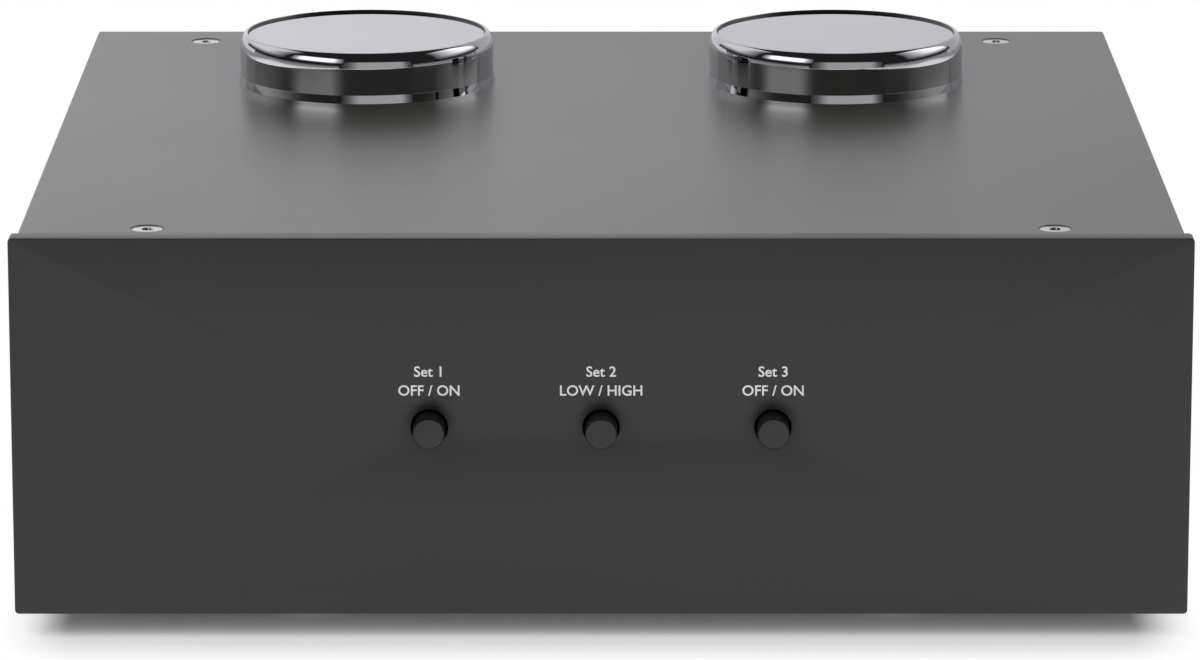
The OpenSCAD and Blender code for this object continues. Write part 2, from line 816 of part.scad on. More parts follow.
// Ring of points round one place on the spring's centre line
function spring_ring(i) =
    let (
        angle = 360 * i / spring_steps,
        out = [cos(angle), 0, sin(angle)],
        rise = spring_pitch / (2 * PI * spring_r),
        along = [-sin(angle), rise, cos(angle)] / norm([1, rise]),
        up = cross(along, out)
    )
    [
        for (j = [0 : spring_sides - 1])
            let (a = 360 * j / spring_sides)
                spring_path[i] + spring_wire / 2 * (cos(a) * out + sin(a) * up)
    ];

// Return spring, one unbroken wire round a plunger
module spring(index) {
    last = len(spring_path) - 1;
    points = [for (i = [0 : last]) each spring_ring(i)];
    walls = [
        for (i = [0 : last - 1], j = [0 : spring_sides - 1])
            let (
                a = i * spring_sides + j,
                b = i * spring_sides + (j + 1) % spring_sides,
                c = b + spring_sides,
                d = a + spring_sides
            )
                each [[a, c, b], [a, d, c]]
    ];
    first_cap = [for (j = [1 : spring_sides - 2]) [0, j, j + 1]];
    top = last * spring_sides;
    last_cap = [for (j = [1 : spring_sides - 2]) [top, top + j + 1, top + j]];
    color(silver) translate([button_x[index], 0, button_z])
        polyhedron(points, concat(walls, first_cap, last_cap));
}

module spring_input() { spring(0); }
module spring_gain() { spring(1); }
module spring_output() { spring(2); }

// Switch housings on the switch board
module switch_housings() {
    color("#e4e2da") at_buttons() difference() {
        slab([-switch_w / 2, switch_y, -switch_h / 2], [switch_w / 2, switch_y + switch_l, switch_h / 2]);
        rod_y(plunger_r + plunger_gap, switch_y - cut, plunger_end_y + button_travel + cut);
    }
}

// Board that carries the switches
module switch_board() {
    color(green) difference() {
        slab([-board_w / 2, board_y0, board_under], [board_w / 2, board_y1, board_top]);
        at_pillars(0) rod_z(pass_r, board_under - cut, board_top + cut);
    }
}

// Tapped hexagon pillars under the switch board
module board_pillars() {
    color(silver) at_pillars(0) difference() {
        hex_z(nut_af, floor_z, board_under);
        rod_z(tap_r, floor_z - cut, board_under + cut);
    }
}

// Screws at both ends of the pillars
module board_screws() {
    color(silver) {
        at_pillars(board_top) pan_screw(board_t + screw_l);
        at_pillars(base_z) mirror([0, 0, 1]) pan_screw(sheet_t + screw_l);
    }
}

// Half section of a cap: flared foot, wall, rounded upper edge, dished top and spigot
module cap_section() {
    difference() {
        union() {
            translate([0, lid_z]) square([cap_r, cap_h - cap_edge_h]);
            translate([0, lid_z]) square([cap_r - cap_edge_w, cap_h]);
            translate([cap_r - cap_edge_w, cap_z - cap_edge_h])
                scale([1, cap_edge_h / cap_edge_w]) circle(r = cap_edge_w);
            translate([0, spigot_z]) square([spigot_r, lid_z - spigot_z + cut]);
            difference() {
                translate([0, lid_z]) square([cap_r + cap_flare, cap_flare_h]);
                translate([cap_r + cap_flare_r, lid_z + cap_flare_h]) circle(r = cap_flare_r);
            }
        }
        translate([0, cap_z - cap_dish]) square([cap_dish_r, cap_dish + cut]);
        translate([0, spigot_z - cut]) square([cap_inner_r, cap_roof - spigot_z + cut]);
    }
}

module cap(side) {
    color(chrome) translate([side * cap_x, cap_cy, 0]) rotate_extrude($fn = 128) cap_section();
}

module cap_left() { cap(-1); }
module cap_right() { cap(1); }

// Ring nuts that hold the caps from below
module cap_ring_nuts() {
    color(silver) at_transformers()
        ring_z(spigot_r + ring_nut_w, spigot_r + thread_gap, lid_under - ring_nut_h, lid_under);
}

// Shield can over a transformer, open at its foot
module shield_can(side) {
    color("#9fa2a6") translate([side * cap_x, cap_cy, 0]) difference() {
        rod_z(can_r, floor_z, can_z1);
        rod_z(can_r - can_t, floor_z - cut, can_z1 - can_t);
        rod_z(clamp_r + hole_gap, can_z1 - can_t - cut, can_z1 + cut);
        translate([0, 0, lead_z]) rod_y(grommet_r + thread_gap, -can_r - cut, 0);
    }
}

module shield_can_left() { shield_can(-1); }
module shield_can_right() { shield_can(1); }

// Ring cores
module cores() {
    color("#5c5f63") at_transformers() ring_z(core_out_r, core_in_r, core_z, core_z + core_h);
}

// Half section of a winding that wraps a core
module winding_section() {
    difference() {
        translate([winding_in_r, core_z - winding_t])
            square([winding_out_r - winding_in_r, core_h + 2 * winding_t]);
        translate([core_in_r - winding_gap, core_z - winding_gap])
            square([core_out_r - core_in_r + 2 * winding_gap, core_h + 2 * winding_gap]);
    }
}

// Windings on one half of each core
module windings(start) {
    color(copper) at_transformers() rotate([0, 0, start + (180 - winding_angle) / 2])
        rotate_extrude(angle = winding_angle) winding_section();
}

module primary_windings() { windings(90); }
module secondary_windings() { windings(-90); }

// Rubber pads under and over the cores
module core_pads() {
    color("#1d1d1f") at_transformers() {
        ring_z(winding_out_r, clamp_r + hole_gap, floor_z, pad_z);
        ring_z(winding_out_r, clamp_r + hole_gap, upper_pad_z, clamp_washer_z);
    }
}

// Washers that press on the upper pads
module clamp_washers() {
    color(silver) at_transformers() ring_z(core_out_r, clamp_r + hole_gap, clamp_washer_z, clamp_nut_z);
}

// Bolts through the transformers and the tops of their cans
module clamp_bolts() {
    color(silver) at_transformers() difference() {
        union() {
            rod_z(clamp_head_r, base_z - clamp_head_h, base_z);
            rod_z(clamp_r, base_z, clamp_end_z);
        }
        hex_z(key_af, base_z - clamp_head_h - cut, base_z - clamp_head_h + key_d);
    }
}

// Nuts on the clamp washers and on the cans
module clamp_nuts() {
    color(silver) at_transformers() {
        translate([0, 0, clamp_nut_z]) nut(clamp_af, clamp_nut_h, clamp_r + thread_gap);
        translate([0, 0, can_z1]) nut(clamp_af, clamp_nut_h, clamp_r + thread_gap);
    }
}

// Leads from the windings to the underside of the switch board
module transformer_leads() {
    color("#7b1f1f") for (side = sides) translate([side * cap_x, 0, 0]) {
        translate([0, 0, lead_z]) rod_y(lead_r, lead_y0 + lead_bend_r, lead_y1);
        translate([0, lead_y0, 0]) rod_z(lead_r, lead_z + lead_bend_r, board_under);
        translate([0, lead_y0 + lead_bend_r, lead_z + lead_bend_r]) rotate([0, 90, 180])
            rotate_extrude(angle = 90) translate([lead_bend_r, 0]) circle(r = lead_r);
    }
}

// Grommets where the leads leave the cans
module lead_grommets() {
    color("#1d1d1f") at_transformers() translate([0, 0, lead_z])
        ring_y(grommet_r, lead_r + thread_gap, -can_r - grommet_out, -can_r + can_t + grommet_out);
}

// Board that joins the sockets
module socket_board() {
    color(green) slab(
        [-socket_board_half, socket_board_y, socket_board_z[0]],
        [socket_board_half, shell_y0, socket_board_z[1]]
    );
}

// Ribbon headers on both boards
module ribbon_headers() {
    color(dark) {
        slab(
            [-header_w / 2, ribbon_y - header_t / 2, board_top],
            [header_w / 2, ribbon_y + header_t / 2, ribbon_bottom]
        );
        slab(
            [-header_w / 2, rear_header_y, ribbon_z - header_t / 2],
            [header_w / 2, socket_board_y, ribbon_z + header_t / 2]
        );
    }
}

// Ribbon cable: up from the front header, round a bend and back to the rear header
module ribbon_cable() {
    bend = [ribbon_y + ribbon_bend_r, ribbon_z - ribbon_bend_r];
    half = ribbon_t / 2;
    color("#b9bcc2") rotate([90, 0, 90]) translate([0, 0, -ribbon_w / 2]) linear_extrude(ribbon_w) {
        translate([ribbon_y - half, ribbon_bottom]) square([ribbon_t, bend[1] - ribbon_bottom]);
        translate([bend[0], ribbon_z - half]) square([rear_header_y - bend[0], ribbon_t]);
        intersection() {
            translate(bend) difference() {
                circle(r = ribbon_bend_r + half);
                circle(r = ribbon_bend_r - half);
            }
            translate([bend[0] - 2 * ribbon_bend_r, bend[1]]) square(2 * ribbon_bend_r);
        }
    }
}

// Metal shell of a balanced socket: flange and tube with its screw holes
module balanced_shell() {
    difference() {
        union() {
            round_plate(flange_w, flange_h, flange_corner_r, rear_y, flange_y);
            rod_y(shell_r, shell_y0, flange_y);
            children();
        }
        rod_y(shell_bore_r, shell_y0 - cut, flange_y + cut);
        at_flange_screws(0) rod_y(pass_r, rear_y - cut, flange_y + cut);
    }
}

// Channel that a latch slides in
module latch_channel() {
    half_w = latch_w / 2 + latch_gap;
    half_t = latch_t / 2 + latch_gap;
    slab(
        [-half_w, latch_end_y - latch_travel - latch_gap, latch_z - half_t],
        [half_w, flange_y + cut, latch_z + half_t]
    );
}

// Shells of the input sockets, with a block for the latch
module balanced_input_shells() {
    color(silver) at_sockets(balanced_in_x) difference() {
        balanced_shell()
            slab([-latch_block_half, latch_block_y, 0], [latch_block_half, rear_y + cut, latch_block_h]);
        latch_channel();
    }
}

// Plastic inserts of the input sockets: a base, and a nose that stands on it
module balanced_input_inserts() {
    color(dark) at_sockets(balanced_in_x) difference() {
        union() {
            rod_y(shell_bore_r - insert_gap, shell_y0, insert_y);
            rod_y(nose_r, insert_y + insert_gap, flange_y - nose_drop);
        }
        at_contacts() rod_y(contact_r + insert_gap, shell_y0 - cut, flange_y);
    }
}

// Contact tubes of the input sockets
module balanced_input_contacts() {
    end_y = flange_y - 2 * nose_drop;
    color(gold) at_sockets(balanced_in_x) at_contacts() difference() {
        rod_y(contact_r, shell_y0, end_y);
        rod_y(pin_r + contact_gap, end_y - contact_bore_d, end_y + cut);
    }
}

// Press-to-release latch of an input socket
module latch(index) {
    color(silver) translate([balanced_in_x[index], 0, socket_z]) slab(
        [-latch_w / 2, latch_end_y, latch_z - latch_t / 2],
        [latch_w / 2, flange_y + latch_out, latch_z + latch_t / 2]
    );
}

module latch_left() { latch(0); }
module latch_right() { latch(1); }

// Shells of the output sockets
module balanced_output_shells() {
    color(silver) at_sockets(balanced_out_x) balanced_shell();
}

// Plastic inserts of the output sockets
module balanced_output_inserts() {
    color(dark) at_sockets(balanced_out_x) difference() {
        rod_y(shell_bore_r - insert_gap, shell_y0, insert_y);
        at_contacts() rod_y(pin_r + insert_gap, shell_y0 - cut, insert_y + cut);
    }
}

// Pins of the output sockets
module balanced_output_pins() {
    color(gold) at_sockets(balanced_out_x) at_contacts() rod_y(pin_r, shell_y0, flange_y - pin_drop);
}

// Screws of the balanced sockets
module socket_screws() {
    color(silver) at_sockets(concat(balanced_in_x, balanced_out_x))
        at_flange_screws(flange_y) to_rear() pan_screw(screw_l);
}

// Barrels of the phono sockets, with collar and threaded tail
module phono_bodies() {
    color(gold) at_phono(phono_z) difference() {
        union() {
            rod_y(phono_r, phono_barrel_y, phono_end_y);
            rod_y(phono_collar_r, phono_collar_y, phono_barrel_y);
            rod_y(phono_tail_r, phono_tail_y, phono_collar_y);
        }
        rod_y(phono_bore_r, phono_tail_y - cut, phono_end_y + cut);
    }
}

// Coloured insulating ring with a bush through the rear panel
module phono_ring() {
    difference() {
        union() {
            rod_y(phono_ring_r, rear_y, phono_collar_y);
            rod_y(phono_bush_r, rear_in_y, rear_y + cut);
        }
        rod_y(phono_tail_r + phono_gap, rear_in_y - cut, phono_collar_y + cut);
    }
}

module phono_rings_white() { color("#e9e9e6") at_phono([phono_z[1]]) phono_ring(); }
module phono_rings_red() { color("#b3202a") at_phono([phono_z[0]]) phono_ring(); }

// Insulating washers behind the rear panel
module phono_washers() {
    color(dark) at_phono(phono_z)
        ring_y(phono_ring_r, phono_tail_r + phono_gap, phono_nut_y, rear_in_y);
}

// Plastic cores of the phono sockets
module phono_cores() {
    color("#f2f2ee") at_phono(phono_z) ring_y(
        phono_bore_r - phono_gap, phono_contact_r + phono_gap,
        phono_tail_y, phono_end_y - phono_core_drop
    );
}

// Centre contacts of the phono sockets, with a tail to the rear board
module phono_contacts() {
    end_y = phono_end_y - phono_core_drop;
    color(gold) at_phono(phono_z) difference() {
        union() {
            rod_y(phono_contact_r, phono_tail_y, end_y);
            rod_y(tail_r, shell_y0, phono_tail_y);
        }
        rod_y(phono_contact_bore_r, end_y - phono_contact_d, end_y + cut);
    }
}

// Nuts of the phono sockets
module phono_nuts() {
    color(silver) at_phono(phono_z) translate([0, phono_nut_y - phono_nut_h, 0]) to_rear()
        nut(phono_nut_af, phono_nut_h, phono_tail_r + thread_gap);
}

// Ground stud with its collar, and the lock nut behind the rear panel
module ground_stud() {
    color(gold) at_sockets([0]) {
        rod_y(ground_r, ground_nut_y - ground_inner_spare, ground_end_y);
        rod_y(ground_collar_r, rear_y, ground_washer_y);
        translate([0, ground_nut_y, 0]) to_rear() hex_z(ground_nut_af, 0, ground_nut_h);
    }
}

// Washer that lifts with the thumb nut
module ground_washer() {
    color(gold) at_sockets([0])
        ring_y(ground_washer_r, ground_r + ground_gap, ground_washer_y, thumb_y);
}

// Thumb nut of the ground terminal
module ground_thumb_nut() {
    color(gold) at_sockets([0]) ring_y(thumb_r, ground_r + ground_gap, thumb_y, thumb_y + thumb_h);
}

front_panel();
top_cover();
chassis();
rear_panel();
cover_screws();
press_nuts();
panel_screws();
rear_panel_screws();
feet();
foot_screws();
foot_nuts();
button_input();
button_gain();
button_output();
plunger_input();
plunger_gain();
plunger_output();
spring_input();
spring_gain();
spring_output();
switch_housings();
switch_board();
board_pillars();
board_screws();
cap_left();
cap_right();
cap_ring_nuts();
shield_can_left();
shield_can_right();
cores();
primary_windings();
secondary_windings();
core_pads();
clamp_washers();
clamp_bolts();
clamp_nuts();
transformer_leads();
lead_grommets();
socket_board();
ribbon_headers();
ribbon_cable();
balanced_input_shells();
balanced_input_inserts();
balanced_input_contacts();
latch_left();
latch_right();
balanced_output_shells();
balanced_output_inserts();
balanced_output_pins();
socket_screws();
phono_bodies();
phono_rings_white();
phono_rings_red();
phono_washers();
phono_cores();
phono_contacts();
phono_nuts();
ground_stud();
ground_washer();
ground_thumb_nut();
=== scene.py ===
"""Looks of the moving coil step-up box: fine shapes, finishes, studio and camera.

Lengths are millimetres until a mesh is finished, where one factor turns them into metres.
"""

import json
import logging
import math
from dataclasses import dataclass, field
from enum import Enum, IntEnum
from typing import ClassVar, Iterable, Sequence

import bmesh
import bpy
from mathutils import Euler, Matrix, Vector


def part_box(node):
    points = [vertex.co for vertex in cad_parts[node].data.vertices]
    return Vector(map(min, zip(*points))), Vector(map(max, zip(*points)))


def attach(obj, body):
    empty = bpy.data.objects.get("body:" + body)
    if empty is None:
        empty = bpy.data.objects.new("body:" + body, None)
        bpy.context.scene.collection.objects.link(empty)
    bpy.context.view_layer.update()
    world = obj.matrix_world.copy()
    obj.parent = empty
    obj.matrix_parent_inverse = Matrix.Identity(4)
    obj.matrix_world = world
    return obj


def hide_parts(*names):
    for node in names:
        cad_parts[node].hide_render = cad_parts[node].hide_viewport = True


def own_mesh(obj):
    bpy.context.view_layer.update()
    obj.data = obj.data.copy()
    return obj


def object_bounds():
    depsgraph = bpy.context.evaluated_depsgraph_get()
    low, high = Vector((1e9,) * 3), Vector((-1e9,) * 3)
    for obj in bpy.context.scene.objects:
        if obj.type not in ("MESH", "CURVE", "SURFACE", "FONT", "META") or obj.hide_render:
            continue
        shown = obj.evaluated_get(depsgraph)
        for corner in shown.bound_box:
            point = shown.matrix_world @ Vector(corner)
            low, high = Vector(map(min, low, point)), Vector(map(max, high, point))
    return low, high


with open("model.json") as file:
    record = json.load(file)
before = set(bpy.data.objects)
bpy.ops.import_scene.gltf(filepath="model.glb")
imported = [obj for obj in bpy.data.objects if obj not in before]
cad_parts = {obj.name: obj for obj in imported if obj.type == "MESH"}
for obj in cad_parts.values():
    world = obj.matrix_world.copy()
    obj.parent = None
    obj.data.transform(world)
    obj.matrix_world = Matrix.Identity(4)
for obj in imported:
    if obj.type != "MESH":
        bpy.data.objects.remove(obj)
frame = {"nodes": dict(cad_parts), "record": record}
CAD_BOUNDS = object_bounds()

LOG = logging.getLogger("step_up_box")
# One millimetre in metres
MM = 0.001
# Edges that turn by more than this stay sharp
SHARP = math.radians(32.0)
# Points closer than this count as one
TINY = 1e-6
# Solids are put in order by places rounded to this many digits of a millimetre
SORT_DIGITS = 2
HEXAGON = 6
CAPS = ("cap_left", "cap_right")

# Kinds of shader node that many materials use
MATH = "ShaderNodeMath"
RANGE = "ShaderNodeMapRange"
MIX = "ShaderNodeMix"
COORDS = "ShaderNodeTexCoord"
NOISE = "ShaderNodeTexNoise"
# Sockets of a mix node by index, because its numbers and its colours share their names
MIX_SHARE = 0
MIX_NUMBERS = (2, 3)
MIX_COLOURS = (6, 7)
MIXED_NUMBER = 0
MIXED_COLOUR = 2

# A turned shape's own Z axis points to the rear, or to the front
TO_REAR = Matrix.Rotation(-math.pi / 2, 4, "X")
TO_FRONT = Matrix.Rotation(math.pi / 2, 4, "X")
LAID_BACK = Euler((-math.pi / 2, 0, 0))
# A plate stands upright, and its depth runs to the rear, or to the front
FACE_FRONT = Matrix(((1, 0, 0, 0), (0, 0, 1, 0), (0, 1, 0, 0), (0, 0, 0, 1)))
FACE_REAR = Matrix(((1, 0, 0, 0), (0, 0, -1, 0), (0, 1, 0, 0), (0, 0, 0, 1)))

SLOT_OF: dict[str, str] = {part["node"]: part["material_slot"] for part in frame["record"]["subparts"]}
BODY_OF: dict[str, str] = {
    node: body for body, nodes in frame["record"]["behaviour"]["bodies"].items() for node in nodes
}

Point = tuple[float, float]


class Steps(IntEnum):
    """Steps round a circle, by what it belongs to."""

    CAP = 256
    LARGE = 96
    BARREL = 80
    SCREW = 72
    CONTACT = 40
    SMALL = 32


def linear(colour: str) -> tuple[float, float, float, float]:
    """Turns an sRGB hex colour into linear light.

    Args:
        colour: Colour as "#rrggbb".

    Returns:
        Red, green, blue and alpha in linear light.
    """
    shares = [int(colour[i : i + 2], 16) / 255 for i in (1, 3, 5)]
    red, green, blue = (s / 12.92 if s <= 0.04045 else ((s + 0.055) / 1.055) ** 2.4 for s in shares)
    return red, green, blue, 1.0


def add_node(
    tree: bpy.types.NodeTree, kind: str, inputs: dict[str | int, object] | None = None, **settings: object
) -> bpy.types.Node:
    """Adds a node with its settings, values and links.

    Args:
        tree: Tree the node goes into.
        kind: Node type by its identifier.
        inputs: Value or source socket for each input, by name, or by index where names repeat.
        **settings: Properties of the node.

    Returns:
        The new node.
    """
    node = tree.nodes.new(kind)
    for name, value in settings.items():
        setattr(node, name, value)
    for key, value in (inputs or {}).items():
        if isinstance(value, bpy.types.NodeSocket):
            tree.links.new(value, node.inputs[key])
        else:
            node.inputs[key].default_value = value
    return node


@dataclass(frozen=True)
class Box:
    """Box round a solid, in millimetres."""

    lo: Vector
    hi: Vector

    @property
    def centre(self) -> Vector:
        """Middle of the box."""
        return (self.lo + self.hi) / 2

    @property
    def size(self) -> Vector:
        """Lengths of the box along X, Y and Z."""
        return self.hi - self.lo


def node_box(node: str) -> Box:
    """Box round a CAD node.

    Args:
        node: Name of the node.

    Returns:
        Its box in millimetres.
    """
    lo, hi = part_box(node)
    return Box(lo / MM, hi / MM)


def solids(node: str) -> list[Box]:
    """Boxes round the separate solids of a CAD node.

    Args:
        node: Name of the node.

    Returns:
        One box for each solid, ordered from left to right, then bottom to top, then front to rear.
    """
    source = frame["nodes"][node]
    shape = bmesh.new()
    shape.from_mesh(source.data)
    shape.transform(source.matrix_world)
    bmesh.ops.remove_doubles(shape, verts=shape.verts[:], dist=TINY)
    boxes = []
    left = set(shape.verts)
    while left:
        front = [left.pop()]
        found = []
        while front:
            vertex = front.pop()
            found.append(vertex.co / MM)
            for edge in vertex.link_edges:
                other = edge.other_vert(vertex)
                if other in left:
                    left.remove(other)
                    front.append(other)
        lo = Vector(min(p[i] for p in found) for i in range(3))
        hi = Vector(max(p[i] for p in found) for i in range(3))
        boxes.append(Box(lo, hi))
    shape.free()
    return sorted(boxes, key=lambda box: tuple(round(v, SORT_DIGITS) for v in box.centre.xzy))


@dataclass(frozen=True)
class Circle:
    """Round outline in a plate's own plane."""

    radius: float
    centre: Point = (0.0, 0.0)
    steps: int = Steps.LARGE

    def points(self, grow: float = 0.0) -> list[Point]:
        """Points of the outline.

        Args:
            grow: Distance the outline is moved outward.

        Returns:
            Points in order round the outline.
        """
        reach = self.radius + grow
        turns = [2 * math.pi * i / self.steps for i in range(self.steps)]
        return [(self.centre[0] + reach * math.cos(a), self.centre[1] + reach * math.sin(a)) for a in turns]


@dataclass(frozen=True)
class RoundRect:
    """Rectangle with round corners in a plate's own plane."""

    width: float
    height: float
    corner: float
    centre: Point = (0.0, 0.0)
    steps: int = 8

    def points(self, grow: float = 0.0) -> list[Point]:
        """Points of the outline.

        Args:
            grow: Distance the outline is moved outward.

        Returns:
            Points in order round the outline.
        """
        corner = self.corner + grow
        half = (self.width / 2 - self.corner, self.height / 2 - self.corner)
        outline = []
        for quarter, (sx, sy) in enumerate(((1, 1), (-1, 1), (-1, -1), (1, -1))):
            middle = (self.centre[0] + sx * half[0], self.centre[1] + sy * half[1])
            outline += arc(middle, corner, 90.0 * quarter, 90.0 * (quarter + 1), self.steps)
        return outline


Outline = Circle | RoundRect


@dataclass(frozen=True)
class Hole:
    """Hole in a plate, right through or blind from the back."""

    outline: Outline
    depth: float | None = None
    edge: float = 0.1


@dataclass(frozen=True)
class Ring:
    """One ring of a turned shape: a circle, or a polygon given by its distance to the flats."""

    radius: float
    height: float
    sides: int = 0

    def reach(self, angle: float) -> float:
        """Distance from the axis at an angle.

        Args:
            angle: Angle round the axis in radians.

        Returns:
            Distance from the axis.
        """
        if not self.sides:
            return self.radius
        sector = 2 * math.pi / self.sides
        return self.radius / math.cos((angle + sector / 2) % sector - sector / 2)


Profile = Sequence[Point | Ring]


def arc(centre: Point, radius: float, start: float, end: float, steps: int) -> list[Point]:
    """Points along an arc.

    Args:
        centre: Middle of the arc.
        radius: Radius of the arc.
        start: First angle in degrees.
        end: Last angle in degrees.
        steps: Number of straight steps.

    Returns:
        Points with both ends among them.
    """
    turns = [math.radians(start + (end - start) * i / steps) for i in range(steps + 1)]
    return [(centre[0] + radius * math.cos(a), centre[1] + radius * math.sin(a)) for a in turns]


class Shape:
    """Mesh under construction, in millimetres."""

    def __init__(self) -> None:
        """Starts an empty shape."""
        self.form = bmesh.new()
        self.turn = self.form.verts.layers.float.new("turn_radius")

    def loop(self, points: Iterable[Sequence[float]], place: Matrix = Matrix()) -> list[bmesh.types.BMVert]:
        """Adds a row of points.

        Args:
            points: Places of the points.
            place: Matrix they are moved by.

        Returns:
            The new vertices.
        """
        return [self.form.verts.new(place @ Vector(p)) for p in points]

    def wall(
        self, loops: Sequence[list[bmesh.types.BMVert]], closed: bool = False, ring: bool = True
    ) -> None:
        """Joins neighbouring rows by quads, or triangles where a row is a single point.

        Args:
            loops: Rows of points.
            closed: Whether the last row joins the first one.
            ring: Whether each row closes on itself.
        """
        pairs = list(zip(loops, loops[1:])) + ([(loops[-1], loops[0])] if closed else [])
        for one, two in pairs:
            count = max(len(one), len(two))
            for i in range(count if ring else count - 1):
                j = (i + 1) % count
                corners = (one[i % len(one)], one[j % len(one)], two[j % len(two)], two[i % len(two)])
                self.form.faces.new(tuple(dict.fromkeys(corners))).smooth = True

    def flat(self, loops: Sequence[list[bmesh.types.BMVert]]) -> None:
        """Fills the flat face between closed rows: an outline, and the holes in it.

        Args:
            loops: Rows that bound the face.
        """
        edges = []
        for row in loops:
            for a, b in zip(row, row[1:] + row[:1]):
                edges.append(self.form.edges.get((a, b)) or self.form.edges.new((a, b)))
        made = bmesh.ops.triangle_fill(self.form, use_beauty=True, edges=edges)
        for item in made["geom"]:
            if isinstance(item, bmesh.types.BMFace):
                item.smooth = False

    def turned(
        self, profile: Profile, place: Matrix = Matrix(), segments: int = Steps.LARGE, closed: bool = False
    ) -> "Shape":
        """Adds a shape turned about its own Z axis.

        Args:
            profile: Rings, or pairs of radius and height.
            place: Matrix from the shape's own axes to the frame.
            segments: Steps round the axis.
            closed: Whether the profile closes on itself.

        Returns:
            This shape.
        """
        rows = []
        for item in profile:
            ring = item if isinstance(item, Ring) else Ring(*item)
            angles = [2 * math.pi * i / segments for i in range(segments)] if ring.radius > TINY else [0.0]
            spots = [(ring.reach(a) * math.cos(a), ring.reach(a) * math.sin(a), ring.height) for a in angles]
            rows.append(self.loop(spots, place))
            for vertex in rows[-1]:
                vertex[self.turn] = ring.radius * MM
        self.wall(rows, closed)
        return self

    def plate(
        self, outline: Outline, depth: float, edge: float, holes: Sequence[Hole] = (),
        place: Matrix = Matrix(), steps: int = 3,
    ) -> "Shape":
        """Adds a flat plate with soft edges; its face is at Z = 0 and its depth runs along +Z.

        Args:
            outline: Outline of the plate.
            depth: Thickness of the plate.
            edge: Radius of the softened outer edges.
            holes: Holes in the plate.
            place: Matrix from the plate's own axes to the frame.
            steps: Steps of each softened edge.

        Returns:
            This shape.
        """
        fronts, backs = [], []
        for item in (Hole(outline, edge=-edge), *holes):
            soft = abs(item.edge)
            turns = [math.pi / 2 * i / steps for i in range(steps + 1)]
            into = [
                (soft * (1 - math.cos(a)), math.copysign(soft * (1 - math.sin(a)), item.edge))
                for a in turns
            ]
            levels = into + [(depth - d, g) for d, g in reversed(into)]
            if item.depth is not None:
                levels = [(depth - item.depth, 0.0)] + levels[len(into):]
            rows = [self.loop(((u, v, d) for u, v in item.outline.points(g)), place) for d, g in levels]
            self.wall(rows)
            backs.append(rows[-1])
            if item.depth is None:
                fronts.append(rows[0])
            else:
                self.flat([rows[0]])
        self.flat(fronts)
        self.flat(backs)
        return self

    def mesh(self, name: str) -> bpy.types.Mesh:
        """Ends the shape.

        Args:
            name: Name of the mesh.

        Returns:
            The mesh in metres, with soft and sharp edges set.
        """
        bmesh.ops.recalc_face_normals(self.form, faces=self.form.faces[:])
        self.form.transform(Matrix.Scale(MM, 4))
        made = bpy.data.meshes.new(name)
        self.form.to_mesh(made)
        self.form.free()
        made.set_sharp_from_angle(angle=SHARP)
        return made


def joined(name: str, parts: Iterable[bpy.types.Mesh]) -> bpy.types.Mesh:
    """Joins meshes into one.

    Args:
        name: Name of the new mesh.
        parts: Meshes to join.

    Returns:
        The new mesh.
    """
    form = bmesh.new()
    for part in parts:
        form.from_mesh(part)
    made = bpy.data.meshes.new(name)
    form.to_mesh(made)
    form.free()
    return made


def plain_object(name: str, data: bpy.types.ID) -> bpy.types.Object:
    """Puts a mesh, curve, lamp or camera into the scene.

    Args:
        name: Name of the object.
        data: What the object shows.

    Returns:
        The new object.
    """
    made = bpy.data.objects.new(name, data)
    bpy.context.scene.collection.objects.link(made)
    return made


def empty_material(name: str) -> tuple[bpy.types.Material, bpy.types.NodeTree]:
    """Starts a material with no nodes.

    Args:
        name: Name of the material.

    Returns:
        The material and its tree.
    """
    made = bpy.data.materials.new(name)
    made.use_nodes = True
    made.node_tree.nodes.clear()
    return made, made.node_tree


def one_face(
    name: str, corners: Sequence[Sequence[float]], material: bpy.types.Material
) -> bpy.types.Mesh:
    """Makes a mesh of one flat face.

    Args:
        name: Name of the mesh.
        corners: Corners in order, in metres.
        material: Material of the face.

    Returns:
        The mesh.
    """
    made = bpy.data.meshes.new(name)
    made.from_pydata(corners, [], [range(len(corners))])
    made.materials.append(material)
    return made


class Grain(Enum):
    """How a surface was worked: the stretch of its fine pattern along X, Y and Z."""

    BRUSHED = (0.012, 1.0, 1.0)
    EVEN = (1.0, 1.0, 1.0)
    LAID = (1.0, 0.03, 1.0)
    TURNED = (0.0, 0.0, 0.0)


